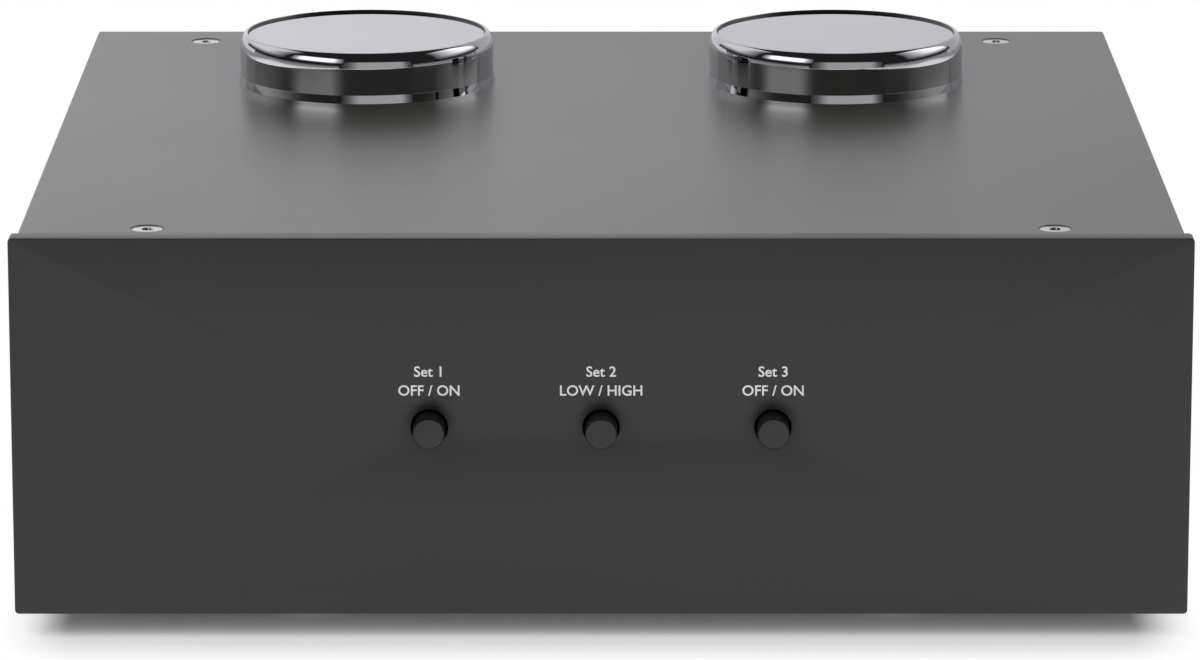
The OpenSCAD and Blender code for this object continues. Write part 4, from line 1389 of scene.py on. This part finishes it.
@dataclass
class Feet(Assembly):
    """Four rubber feet with a recess for their screw."""

    scatter: Scatter
    recess: float = 3.4
    pass_radius: float = 1.7
    floor: float = 1.6
    edge: float = 0.8
    edge_steps: int = 6
    soft: float = 0.2

    def build(self) -> None:
        """Makes the feet."""
        found = solids("feet")
        height = found[0].size.z
        radius = found[0].size.x / 2
        profile = [
            (self.recess, height - self.floor), (self.recess, self.soft), (self.recess + self.soft, 0.0),
            *arc((radius - self.edge, self.edge), self.edge, -90.0, 0.0, self.edge_steps),
            (radius, height - self.soft), (radius - self.soft, height), (self.pass_radius, height),
            (self.pass_radius, height - self.floor),
        ]
        shape = Shape().turned(profile, segments=Steps.SCREW, closed=True)
        spots = [Vector((f.centre.x, f.centre.y, f.lo.z)) for f in found]
        self.add("feet_set", self.scatter.spread("feet_set", shape, spots), "feet")


class Knurl(NodeTool):
    """Sets thin bars round an axis along Y, as the grip of a turned nut."""

    bar_sides: ClassVar[int] = 10

    def __init__(self) -> None:
        """Builds the tree."""
        super().__init__(
            "knurl_bars",
            {
                "Count": "NodeSocketInt",
                "Ring Radius": "NodeSocketFloat",
                "Bar Radius": "NodeSocketFloat",
                "Length": "NodeSocketFloat",
                "Middle": "NodeSocketVector",
            },
        )
        given = self.start.outputs
        ring = add_node(
            self.tree, "GeometryNodeMeshCircle", {"Vertices": given["Count"], "Radius": given["Ring Radius"]}
        )
        bar = add_node(
            self.tree, "GeometryNodeMeshCylinder",
            {"Vertices": self.bar_sides, "Radius": given["Bar Radius"], "Depth": given["Length"]},
        )
        bars = add_node(
            self.tree, "GeometryNodeInstanceOnPoints",
            {"Points": ring.outputs[0], "Instance": bar.outputs["Mesh"]},
        )
        laid = add_node(
            self.tree, "GeometryNodeTransform",
            {"Geometry": bars.outputs[0], "Translation": given["Middle"], "Rotation": LAID_BACK},
        )
        self.end(laid.outputs[0])


def rear_ends(boxes: Iterable[Box]) -> list[Vector]:
    """Middles of the rear ends of solids that lie along Y.

    Args:
        boxes: Boxes of the solids.

    Returns:
        Places in millimetres.
    """
    return [Vector((box.centre.x, box.hi.y, box.centre.z)) for box in boxes]


@dataclass
class BalancedSockets(Assembly):
    """Four balanced sockets: shell with flange, insert, contact tubes or pins, and a latch on each input."""

    scatter: Scatter
    corner: float = 2.5
    edge: float = 0.3
    flange: float = 2.2
    tube: float = 11.6
    bore: float = 9.6
    screw_hole: float = 1.7
    latch_gap: float = 0.1
    latch_travel: float = 1.5
    latch_corner: float = 0.5
    latch_corner_steps: int = 4
    slot_corner: float = 0.3
    guide_corner: float = 0.4
    guide_corner_steps: int = 3
    guide_edge: float = 0.15
    block_wall: float = 0.9
    contact_gap: float = 0.05
    contact_edge: float = 0.1
    contact_bore: float = 1.25
    contact_depth: float = 11.0
    drill_depth: float = 0.5
    pin_tip: float = 0.6
    pin_tip_steps: int = 8
    latches: ClassVar[tuple[str, ...]] = ("latch_left", "latch_right")

    def build(self) -> None:
        """Makes the shells, inserts, contacts and latches."""
        axis = node_box("balanced_output_shells").centre.z
        keys = [node_box(node) for node in self.latches]
        for node in ("balanced_input_shells", "balanced_output_shells"):
            shape = Shape()
            for box in solids(node):
                self.shell(shape, box, axis, [key for key in keys if box.lo.x < key.centre.x < box.hi.x])
            self.add(f"{node}_set", shape, node)
        self.insert("balanced_input_inserts", "balanced_input_contacts")
        self.insert("balanced_output_inserts", "balanced_output_pins")
        self.contact("balanced_input_contacts", hollow=True)
        self.contact("balanced_output_pins", hollow=False)
        for node, key in zip(self.latches, keys):
            spot = (key.centre.x, key.centre.z)
            outline = RoundRect(key.size.x, key.size.z, self.latch_corner, spot, self.latch_corner_steps)
            place = Matrix.Translation((0, key.hi.y, 0)) @ FACE_REAR
            self.add(f"{node}_key", Shape().plate(outline, key.size.y, self.edge, place=place), node)

    def shell(self, shape: Shape, box: Box, axis: float, keys: list[Box]) -> None:
        """Adds one shell: flange, tube and a guide for its latch.

        Args:
            shape: Shape the shell goes into.
            box: Box of the shell.
            axis: Height of the socket's axis.
            keys: Boxes of its latches.
        """
        back = box.hi.y - self.flange
        holes = [Hole(Circle(self.bore, (box.centre.x, axis)), edge=self.edge)]
        for screw in solids("socket_screws"):
            if box.lo.x < screw.centre.x < box.hi.x:
                holes.append(Hole(Circle(self.screw_hole, (screw.centre.x, screw.centre.z), Steps.SMALL)))
        for key in keys:
            gap, wall = 2 * self.latch_gap, 2 * self.block_wall
            spot, steps = (key.centre.x, key.centre.z), self.guide_corner_steps
            slot = RoundRect(key.size.x + gap, key.size.z + gap, self.slot_corner, spot, steps)
            guide = RoundRect(slot.width + wall, slot.height + wall, self.guide_corner, spot, steps)
            end = key.lo.y - self.latch_travel - self.block_wall
            place = Matrix.Translation((0, end, 0)) @ FACE_FRONT
            deep = back - end - self.block_wall + self.latch_gap
            shape.plate(guide, back - end, self.guide_edge, [Hole(slot, deep)], place)
            holes.append(Hole(slot))
        outline = RoundRect(box.size.x, box.size.z, self.corner, (box.centre.x, axis))
        place = Matrix.Translation((0, box.hi.y, 0)) @ FACE_REAR
        shape.plate(outline, self.flange, self.edge, holes, place)
        ring = [(self.bore, box.lo.y), (self.tube, box.lo.y), (self.tube, back), (self.bore, back)]
        shape.turned(ring, Matrix.Translation((box.centre.x, 0, axis)) @ TO_REAR, closed=True)

    def insert(self, node: str, contacts: str) -> None:
        """Makes the plastic inserts of a kind of socket.

        Args:
            node: Node of the inserts.
            contacts: Node of the contacts that pass through them.
        """
        shape = Shape()
        for box in solids(node):
            holes = [
                Hole(Circle(pin.size.x / 2 + self.contact_gap, (pin.centre.x, pin.centre.z), Steps.CONTACT))
                for pin in solids(contacts) if box.lo.x < pin.centre.x < box.hi.x
            ]
            outline = Circle(box.size.x / 2, (box.centre.x, box.centre.z))
            place = Matrix.Translation((0, box.hi.y, 0)) @ FACE_REAR
            shape.plate(outline, box.size.y, self.edge, holes, place)
        self.add(f"{node}_set", shape, node)

    def contact(self, node: str, hollow: bool) -> None:
        """Makes the contacts of a kind of socket.

        Args:
            node: Node of the contacts.
            hollow: Whether they are tubes.
        """
        found = solids(node)
        radius, length = found[0].size.x / 2, found[0].size.y
        edge, bore, tip = self.contact_edge, self.contact_bore, self.pin_tip
        profile = [(0.0, -length), (radius - edge, -length), (radius, -length + edge)]
        if hollow:
            profile += [
                (radius, -edge), (radius - edge, 0.0), (bore + edge, 0.0), (bore, -edge),
                (bore, -self.contact_depth), (0.0, -self.contact_depth - self.drill_depth),
            ]
        else:
            dome = arc((radius - tip, -tip), tip, 0.0, 90.0, self.pin_tip_steps)
            profile += [(radius, -tip - edge), *dome, (0.0, 0.0)]
        shape = Shape().turned(profile, segments=Steps.CONTACT)
        self.add(f"{node}_set", self.scatter.spread(f"{node}_set", shape, rear_ends(found), TO_REAR), node)


@dataclass
class PhonoSockets(Assembly):
    """Four phono sockets: turned body, coloured ring, plastic core and centre contact."""

    scatter: Scatter
    barrel: float = 4.15
    barrel_length: float = 9.5
    collar_height: float = 1.5
    tail: float = 3.8
    bore: float = 3.1
    soft: float = 0.25
    soft_steps: int = 5
    lip_step: float = 0.1
    groove: float = 0.12
    groove_from: float = 1.2
    groove_to: float = 2.2
    groove_slope: float = 0.2
    ring_height: float = 1.5
    ring_bore: float = 3.85
    bush: float = 4.85
    core_bore: float = 2.1
    core_edge: float = 0.15
    core_lead_in: float = 0.25
    contact_bore: float = 1.65
    contact_edge: float = 0.1
    contact_lead_in: float = 0.15
    contact_depth: float = 9.0
    drill_depth: float = 0.6
    lead: float = 0.8
    lead_length: float = 12.0

    def lip(self, radius: float) -> list[Point]:
        """Rounded outer edge at height 0.

        Args:
            radius: Radius of the piece.

        Returns:
            Pairs of radius and height from the side to the end.
        """
        return arc((radius - self.soft, -self.soft), self.soft, 0.0, 90.0, self.soft_steps)

    def body(self, box: Box) -> Profile:
        """Section of a body, its end at height 0.

        Args:
            box: Box of the body.

        Returns:
            Closed row of pairs of radius and height.
        """
        collar, seat = box.size.x / 2, -self.barrel_length
        start, end = seat + self.groove_from, seat + self.groove_to
        return [
            (self.bore, -box.size.y), (self.tail, -box.size.y), (self.tail, seat - self.collar_height),
            (collar, seat - self.collar_height), (collar, seat - self.soft), (collar - self.soft, seat),
            (self.barrel, seat), (self.barrel, start), (self.barrel - self.groove, start + self.groove_slope),
            (self.barrel - self.groove, end - self.groove_slope), (self.barrel, end),
            (self.barrel, -self.soft - self.lip_step), *self.lip(self.barrel), (self.bore + self.soft, 0.0),
            (self.bore, -self.soft),
        ]

    def ring(self, box: Box) -> Profile:
        """Section of a coloured ring, its outer face at height 0.

        Args:
            box: Box of the ring.

        Returns:
            Closed row of pairs of radius and height.
        """
        radius = box.size.x / 2
        return [
            (self.ring_bore, -box.size.y), (self.bush, -box.size.y), (self.bush, -self.ring_height),
            (radius, -self.ring_height), *self.lip(radius), (self.ring_bore, 0.0),
        ]

    def core(self, box: Box) -> Profile:
        """Section of a plastic core, its end at height 0.

        Args:
            box: Box of the core.

        Returns:
            Closed row of pairs of radius and height.
        """
        radius, edge, lead_in = box.size.x / 2, self.core_edge, self.core_lead_in
        return [
            (self.core_bore, -box.size.y), (radius, -box.size.y), (radius, -edge), (radius - edge, 0.0),
            (self.core_bore + lead_in, 0.0), (self.core_bore, -lead_in),
        ]

    def contact(self, box: Box) -> Profile:
        """Section of a centre contact, its end at height 0.

        Args:
            box: Box of the contact.

        Returns:
            Pairs of radius and height.
        """
        radius, step = box.size.x / 2, self.lead_length - box.size.y
        edge, bore, lead_in = self.contact_edge, self.contact_bore, self.contact_lead_in
        return [
            (0.0, -box.size.y), (self.lead, -box.size.y), (self.lead, step), (radius, step), (radius, -edge),
            (radius - edge, 0.0), (bore + lead_in, 0.0), (bore, -lead_in), (bore, -self.contact_depth),
            (0.0, -self.contact_depth - self.drill_depth),
        ]

    def build(self) -> None:
        """Makes each kind of piece once and sets it on all its places."""
        sections = {
            "phono_bodies": (self.body, True),
            "phono_rings_white": (self.ring, True),
            "phono_rings_red": (self.ring, True),
            "phono_cores": (self.core, True),
            "phono_contacts": (self.contact, False),
        }
        for node, (section, closed) in sections.items():
            found = solids(node)
            shape = Shape().turned(section(found[0]), segments=Steps.BARREL, closed=closed)
            data = self.scatter.spread(f"{node}_set", shape, rear_ends(found), TO_REAR)
            self.add(f"{node}_set", data, node)


@dataclass
class GroundTerminal(Assembly):
    """Ground terminal: threaded stud with collar and lock nut, washer, and a knurled thumb nut."""

    knurl: Knurl
    rod: float = 2.0
    rod_tip: float = 0.3
    rod_end: float = 0.5
    bore: float = 2.05
    soft: float = 0.3
    soft_steps: int = 5
    pitch: float = 0.7
    thread: float = 0.2
    lock_flat: float = 3.5
    lock_from: float = 3.0
    lock_height: float = 3.2
    wall_inner: float = 2.0
    bars: int = 44
    bar: float = 0.3
    plain_end: float = 1.1

    def build(self) -> None:
        """Makes the stud, washer and thumb nut."""
        stud, washer, nut = (node_box(f"ground_{name}") for name in ("stud", "washer", "thumb_nut"))
        place = Matrix.Translation((stud.centre.x, 0, stud.centre.z)) @ TO_REAR
        self.add("ground_stud_turned", Shape().turned(self.stud(stud, washer, nut), place), "ground_stud")
        shape = Shape().turned(self.ring(washer), place, closed=True)
        self.add("ground_washer_turned", shape, "ground_washer")
        body = Shape().turned(self.grip(nut), place, closed=True).mesh("grip")
        bars = self.knurl.bake(
            "bars", bpy.data.meshes.new("empty"), Count=self.bars,
            Ring_Radius=(nut.size.x / 2 - self.bar) * MM, Bar_Radius=self.bar * MM,
            Length=(nut.size.y - 2 * self.plain_end) * MM, Middle=nut.centre * MM,
        )
        data = joined("ground_thumb_nut_knurled", (body, bars))
        self.add("ground_thumb_nut_knurled", data, "ground_thumb_nut")

    def stud(self, stud: Box, washer: Box, nut: Box) -> Profile:
        """Section of the stud.

        Args:
            stud: Box of the stud.
            washer: Box of the washer.
            nut: Box of the thumb nut.

        Returns:
            Rings and pairs of radius and place along Y.
        """
        start, seat, end = stud.lo.y, washer.lo.y, stud.hi.y
        lock = start + self.lock_from
        lock_end = lock + self.lock_height
        panel = lock_end + self.wall_inner
        collar, root = stud.size.x / 2, self.rod - self.thread
        ridges = []
        spot = nut.hi.y - 2 * self.pitch
        while spot < end - self.pitch:
            ridges += [(root, spot), (self.rod, spot + self.pitch / 2)]
            spot += self.pitch
        return [
            (0.0, start), (self.rod - self.rod_tip, start), (self.rod, start + self.rod_tip),
            (self.rod, lock),
            Ring(self.lock_flat, lock, HEXAGON), Ring(self.lock_flat, lock_end, HEXAGON),
            (self.rod, lock_end), (self.rod, panel), (collar, panel),
            *arc((collar - self.soft, seat - self.soft), self.soft, 0.0, 90.0, self.soft_steps),
            (self.rod, seat), *ridges, (root, end - self.rod_tip), (self.rod - self.rod_end, end), (0.0, end),
        ]

    def ring(self, box: Box) -> Profile:
        """Section of the washer along Y.

        Args:
            box: Box of the washer.

        Returns:
            Closed row of pairs of radius and place along Y.
        """
        radius, lo, hi, soft = box.size.x / 2, box.lo.y, box.hi.y, self.soft / 2
        return [
            (self.bore, lo), (radius - soft, lo), (radius, lo + soft), (radius, hi - soft),
            (radius - soft, hi), (self.bore, hi),
        ]

    def grip(self, box: Box) -> Profile:
        """Section of the thumb nut inside its knurl.

        Args:
            box: Box of the nut.

        Returns:
            Closed row of pairs of radius and place along Y.
        """
        radius, lo, hi = box.size.x / 2, box.lo.y, box.hi.y
        neck, soft, plain = radius - 2 * self.bar, self.soft, self.plain_end
        return [
            (self.bore, lo), (neck - soft, lo), (neck, lo + soft), (neck, lo + plain),
            (radius - self.bar, lo + plain), (radius - self.bar, hi - plain), (neck, hi - plain),
            *arc((neck - soft, hi - soft), soft, 0.0, 90.0, self.soft_steps),
            (self.bore + soft, hi), (self.bore, hi - soft),
        ]


@dataclass
class Softbox:
    """Soft studio lamp for matt surfaces, given by the direction it stands in; mirrors don't show it.

    Attributes:
        name: Name of the lamp.
        azimuth: Degrees from straight behind the box, positive to the right.
        elevation: Degrees above the floor.
        distance: Metres from the box.
        width: Metres across.
        height: Metres up.
        radiance: Brightness of its face.
        aim: Height in metres of the point that it is turned to.
    """

    name: str
    azimuth: float
    elevation: float
    distance: float
    width: float
    height: float
    radiance: float
    aim: float = 0.06

    def build(self) -> None:
        """Hangs the lamp."""
        side, up = math.radians(self.azimuth), math.radians(self.elevation)
        toward = Vector((math.sin(side) * math.cos(up), math.cos(side) * math.cos(up), math.sin(up)))
        lamp = bpy.data.lights.new(self.name, "AREA")
        lamp.shape = "RECTANGLE"
        lamp.size, lamp.size_y = self.width, self.height
        lamp.energy = self.radiance * math.pi * (self.width * self.height)
        made = plain_object(self.name, lamp)
        made.location = toward * self.distance + Vector((0.0, 0.0, self.aim))
        made.rotation_euler = toward.to_track_quat("Z", "Y").to_euler()
        made.visible_camera = False
        made.visible_glossy = False


@dataclass
class Card:
    """Upright card that only polished and satin pieces mirror.

    Attributes:
        name: Name of the card.
        azimuth: Degrees from straight behind the box, positive to the right.
        distance: Metres from the box to the card.
        left: Left edge in metres.
        right: Right edge in metres.
        low: Lower edge in metres.
        high: Upper edge in metres.
        stops: Places across the card, from 0 to 1, with the share of its brightness there.
        fade: Share of the height over which the card fades at its upper and its lower edge.
        level: Brightness of the card.
        blue: Brightness in blue against the other colours.
        once: Whether only the first mirror in a row of mirrors shows it.
    """

    name: str
    azimuth: float
    distance: float
    left: float
    right: float
    low: float
    high: float
    stops: tuple[Point, ...]
    fade: Point = (0.0, 0.0)
    level: float = 1.0
    blue: float = 1.0
    once: bool = False
    past_first_mirror: ClassVar[float] = 1.5

    def strength(self, tree: bpy.types.NodeTree, rise: bpy.types.NodeSocket) -> float | bpy.types.NodeSocket:
        """Adds the fading at the upper and lower edge, and the test for the first mirror.

        Args:
            tree: Tree of the card's material.
            rise: Socket with the height on the card.

        Returns:
            Strength of the glow, as a number or a socket.
        """
        glow = self.level
        size = self.high - self.low
        for edge, way, part in ((self.high, -1.0, self.fade[0]), (self.low, 1.0, self.fade[1])):
            if part:
                inner = edge + way * part * size
                gain = add_node(
                    tree, RANGE, {"Value": rise, "From Min": edge, "From Max": inner},
                    interpolation_type="SMOOTHSTEP",
                ).outputs["Result"]
                glow = add_node(tree, MATH, {0: gain, 1: glow}, operation="MULTIPLY").outputs[0]
        if self.once:
            depth = add_node(tree, "ShaderNodeLightPath").outputs["Glossy Depth"]
            first = add_node(tree, MATH, {0: depth, 1: self.past_first_mirror}, operation="LESS_THAN")
            glow = add_node(tree, MATH, {0: first.outputs[0], 1: glow}, operation="MULTIPLY").outputs[0]
        return glow

    def build(self) -> None:
        """Stands the card up."""
        material, tree = empty_material(self.name)
        spot = add_node(tree, COORDS).outputs["Object"]
        place = add_node(tree, "ShaderNodeSeparateXYZ", {0: spot}).outputs
        share = add_node(tree, RANGE, {"Value": place["X"], "From Min": self.left, "From Max": self.right})
        ramp = add_node(tree, "ShaderNodeValToRGB", {"Fac": share.outputs["Result"]})
        stops = ramp.color_ramp.elements
        for position, _ in self.stops[1:-1]:
            stops.new(position)
        for stop, (_, level) in zip(stops, self.stops):
            stop.color = (level, level, level * self.blue, 1.0)
        glow = self.strength(tree, place["Z"])
        face = add_node(tree, "ShaderNodeEmission", {"Color": ramp.outputs["Color"], "Strength": glow})
        add_node(tree, "ShaderNodeOutputMaterial", {"Surface": face.outputs[0]})
        corners = [
            (self.left, 0.0, self.low), (self.right, 0.0, self.low),
            (self.right, 0.0, self.high), (self.left, 0.0, self.high),
        ]
        made = plain_object(self.name, one_face(self.name, corners, material))
        turn = math.radians(self.azimuth)
        made.location = (math.sin(turn) * self.distance, math.cos(turn) * self.distance, 0.0)
        made.rotation_euler = (0.0, 0.0, -turn)
        made.visible_camera = False
        made.visible_diffuse = False
        made.visible_shadow = False
        made.visible_transmission = False
        made.visible_volume_scatter = False


@dataclass
class Studio:
    """Pale floor, soft lamps, mirrored cards and the world round them, in metres.

    Attributes:
        floor_half: Half of the floor's width.
        floor_tone: Tone of the floor, sRGB.
        floor_dark: Tone of the floor far behind the box in mirrors, sRGB.
        white_from: Distance from the box where the floor starts to turn plain white to the camera.
        white_to: Distance where it is plain white.
        front_pull: How many times faster it turns white in front of the box.
        side_inset: How far inside the box's sides its distance beside the box starts.
        side_pull: How many times faster it turns white beside the box.
        lift: Glow of the floor to the camera.
        glare: Glow of the floor in mirrors, right in front of the box.
        glare_to: Distance in front of the box where that glow ends.
        dark_from: Distance behind the box where the floor starts to darken in mirrors.
        dark_to: Distance where it is dark in mirrors.
        ambient: Light from all sides on matt surfaces.
        gloom: Brightness of the world in mirrors.
        glow: Brightness of the world in mirrors at the horizon.
        glow_top: Sine of the elevation where that brightness ends.
    """

    floor_half: float = 6.0
    floor_tone: str = "#f7f7f7"
    floor_dark: str = "#272727"
    white_from: float = 0.018
    white_to: float = 0.09
    front_pull: float = 6.0
    side_inset: float = 0.0115
    side_pull: float = 6.2
    lift: float = 0.05
    glare: float = 0.4
    glare_to: float = 0.25
    dark_from: float = 0.15
    dark_to: float = 0.4
    ambient: float = 0.3
    gloom: float = 0.025
    glow: float = 0.42
    glow_top: float = 0.1
    backdrop_stops: ClassVar[tuple[Point, ...]] = (
        (0.0, 0.95), (0.4, 0.88), (0.44, 0.95), (0.49, 0.85), (0.54, 0.74), (0.58, 0.68), (0.63, 0.62),
        (1.0, 0.62),
    )
    soft_stops: ClassVar[tuple[Point, ...]] = (
        (0.0, 0.0), (0.12, 0.3), (0.24, 1.0), (0.76, 1.0), (0.88, 0.3), (1.0, 0.0),
    )
    left_stops: ClassVar[tuple[Point, ...]] = ((0.0, 0.0), (0.45, 1.0), (1.0, 1.0))
    right_stops: ClassVar[tuple[Point, ...]] = ((0.0, 0.0), (0.1, 1.0), (0.35, 0.9), (0.7, 0.35), (1.0, 0.0))

    def paper(self) -> bpy.types.Material:
        """Makes the floor's paper: lit by the lamps near the box, and plain white to the camera far from it.

        Returns:
            The material of the floor.
        """
        material, tree = empty_material("studio_floor_paper")
        front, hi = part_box("front_panel")[0].y, CAD_BOUNDS[1]
        spot = add_node(tree, COORDS).outputs["Object"]
        place = add_node(tree, "ShaderNodeSeparateXYZ", {0: spot}).outputs
        path = add_node(tree, "ShaderNodeLightPath").outputs
        seen, mirrored = path["Is Camera Ray"], path["Is Glossy Ray"]
        # Distance from the box on the floor, drawn in at its front and sides
        side = add_node(tree, MATH, {0: place["X"]}, operation="ABSOLUTE").outputs[0]
        side = add_node(tree, MATH, {0: side, 1: hi[0] - self.side_inset}, operation="SUBTRACT").outputs[0]
        beside = add_node(tree, MATH, {0: side, 1: self.side_pull}, operation="MULTIPLY").outputs[0]
        rear = add_node(tree, MATH, {0: place["Y"], 1: hi[1]}, operation="SUBTRACT").outputs[0]
        ahead = add_node(tree, MATH, {0: front, 1: place["Y"]}, operation="SUBTRACT").outputs[0]
        near = add_node(tree, MATH, {0: ahead, 1: self.front_pull}, operation="MULTIPLY").outputs[0]
        out = add_node(tree, "ShaderNodeCombineXYZ", {"X": beside, "Y": rear, "Z": near}).outputs[0]
        out = add_node(tree, "ShaderNodeVectorMath", {0: out, 1: (0, 0, 0)}, operation="MAXIMUM").outputs[0]
        away = add_node(tree, "ShaderNodeVectorMath", {0: out}, operation="LENGTH").outputs["Value"]
        far = add_node(tree, RANGE, {"Value": away, "From Min": self.white_from, "From Max": self.white_to})
        share = add_node(tree, MATH, {0: far.outputs["Result"], 1: seen}, operation="MULTIPLY").outputs[0]
        # Tone of the paper, darker in mirrors far behind the box
        fade = add_node(tree, RANGE, {"Value": rear, "From Min": self.dark_from, "From Max": self.dark_to})
        fade = add_node(tree, MATH, {0: fade.outputs["Result"], 1: mirrored}, operation="MULTIPLY").outputs[0]
        near_tone, far_tone = linear(self.floor_tone), linear(self.floor_dark)
        tones = {MIX_SHARE: fade, MIX_COLOURS[0]: near_tone, MIX_COLOURS[1]: far_tone}
        tone = add_node(tree, MIX, tones, data_type="RGBA").outputs[MIXED_COLOUR]
        paper = add_node(tree, "ShaderNodeBsdfDiffuse", {"Color": tone}).outputs[0]
        # Glow to the camera, and in mirrors in front of the box
        glare = add_node(
            tree, RANGE,
            {"Value": ahead, "From Min": 0.0, "From Max": self.glare_to, "To Min": self.glare, "To Max": 0.0},
        ).outputs["Result"]
        glare = add_node(tree, MATH, {0: glare, 1: mirrored}, operation="MULTIPLY").outputs[0]
        level = add_node(tree, MATH, {0: seen, 1: self.lift, 2: glare}, operation="MULTIPLY_ADD").outputs[0]
        lift = add_node(tree, "ShaderNodeEmission", {"Strength": level}).outputs[0]
        paper = add_node(tree, "ShaderNodeAddShader", {0: paper, 1: lift}).outputs[0]
        white = add_node(tree, "ShaderNodeEmission", {"Strength": 1.0}).outputs[0]
        both = add_node(tree, "ShaderNodeMixShader", {0: share, 1: paper, 2: white}).outputs[0]
        add_node(tree, "ShaderNodeOutputMaterial", {"Surface": both})
        return material

    def floor(self) -> None:
        """Lays the floor."""
        half = self.floor_half
        corners = [(-half, -half, 0.0), (half, -half, 0.0), (half, half, 0.0), (-half, half, 0.0)]
        plain_object("studio_floor", one_face("studio_floor", corners, self.paper()))

    def world(self) -> None:
        """Sets the world: white to the camera, dark in mirrors, and a little light from all sides."""
        world = bpy.data.worlds.new("studio")
        bpy.context.scene.world = world
        world.use_nodes = True
        tree = world.node_tree
        tree.nodes.clear()
        path = add_node(tree, "ShaderNodeLightPath").outputs
        spot = add_node(tree, COORDS).outputs["Generated"]
        rise = add_node(tree, "ShaderNodeSeparateXYZ", {0: spot}).outputs["Z"]
        band = {"Value": rise, "From Max": self.glow_top, "To Min": self.glow, "To Max": self.gloom}
        dusk = add_node(tree, RANGE, band, interpolation_type="SMOOTHSTEP").outputs["Result"]
        first, second = MIX_NUMBERS
        ways = {MIX_SHARE: path["Is Glossy Ray"], first: self.ambient, second: dusk}
        level = add_node(tree, MIX, ways).outputs[MIXED_NUMBER]
        ways = {MIX_SHARE: path["Is Camera Ray"], first: level, second: 1.0}
        level = add_node(tree, MIX, ways).outputs[MIXED_NUMBER]
        sky = add_node(tree, "ShaderNodeBackground", {"Color": linear("#ffffff"), "Strength": level})
        add_node(tree, "ShaderNodeOutputWorld", {"Surface": sky.outputs[0]})

    def lamps(self) -> list[Softbox]:
        """Lists the lamps.

        Returns:
            The lamps of the studio.
        """
        return [
            Softbox(
                "key_softbox", azimuth=-122.0, elevation=47.0, distance=1.4,
                width=0.78, height=0.56, radiance=3.5,
            ),
            Softbox(
                "rear_softbox", azimuth=50.0, elevation=35.0, distance=1.5,
                width=1.1, height=0.7, radiance=1.55,
            ),
            Softbox(
                "front_fill", azimuth=180.0, elevation=27.0, distance=2.0,
                width=2.6, height=1.8, radiance=2.5,
            ),
            Softbox(
                "rear_fill", azimuth=0.0, elevation=50.0, distance=2.4,
                width=2.4, height=1.4, radiance=1.2,
            ),
        ]

    def cards(self) -> list[Card]:
        """Lists the cards.

        Returns:
            The cards of the studio.
        """
        return [
            Card(
                "white_backdrop", azimuth=0.0, distance=1.6, left=-2.7, right=2.7, low=0.0, high=1.93,
                stops=self.backdrop_stops, blue=1.045,
            ),
            Card(
                "front_card", azimuth=180.0, distance=1.75, left=-1.7, right=0.8, low=0.0, high=0.72,
                stops=self.soft_stops, fade=(0.2, 0.0), level=0.6, once=True,
            ),
            Card(
                "key_card", azimuth=-132.0, distance=1.4, left=-0.72, right=0.72, low=0.34, high=1.05,
                stops=self.soft_stops, fade=(0.35, 0.28), level=2.6,
            ),
            Card(
                "left_card", azimuth=-75.0, distance=1.4, left=-0.7, right=0.9, low=0.2, high=2.2,
                stops=self.left_stops, fade=(0.3, 0.2), level=1.15,
            ),
            Card(
                "right_card", azimuth=78.0, distance=1.4, left=-0.65, right=1.0, low=0.2, high=1.9,
                stops=self.right_stops, fade=(0.3, 0.25), level=2.2,
            ),
        ]

    def build(self) -> None:
        """Builds the whole studio."""
        self.floor()
        self.world()
        for item in (*self.lamps(), *self.cards()):
            item.build()


@dataclass
class ProductCamera:
    """Long lens in front of the box, a little above it."""

    place: tuple[float, float, float] = (-0.0002, -1.2258, 0.3165)
    pitch: float = 76.911
    lens: float = 198.57
    sensor: float = 36.0
    clip_start: float = 0.05
    clip_end: float = 50.0

    def build(self) -> None:
        """Sets the scene's camera and its colour view."""
        data = bpy.data.cameras.new("product_camera")
        data.lens = self.lens
        data.sensor_width = self.sensor
        data.clip_start, data.clip_end = self.clip_start, self.clip_end
        made = plain_object("product_camera", data)
        made.location = self.place
        made.rotation_euler = (math.radians(self.pitch), 0.0, 0.0)
        bpy.context.scene.camera = made
        bpy.context.scene.view_settings.view_transform = "Standard"


def dress_cad(replaced: set[str]) -> None:
    """Gives the CAD nodes that stay visible their finish.

    Args:
        replaced: Nodes that a finished piece stands in for.
    """
    for node, item in frame["nodes"].items():
        if node not in replaced:
            item.data.materials.clear()
            item.data.materials.append(SLOT_FINISH[SLOT_OF[node]].material())


def main() -> None:
    """Builds and dresses the box part by part, then the studio and the camera."""
    logging.basicConfig(level=logging.INFO, format="%(name)s: %(message)s")
    scatter = Scatter()
    parts: list[Assembly] = [
        FrontPanel(), PanelPrint(), Lid(), Screws(scatter), Caps(), PushButtons(WoundSpring()), Feet(scatter),
        BalancedSockets(scatter), PhonoSockets(scatter), GroundTerminal(Knurl()),
    ]
    replaced: set[str] = set()
    for part in parts:
        part.build()
        part.dress()
        for piece in part.pieces:
            replaced.update(piece.nodes)
            LOG.info("%s: %s", type(part).__name__, piece.name)
    dress_cad(replaced)
    Studio().build()
    ProductCamera().build()


if __name__ == "__main__":
    main()
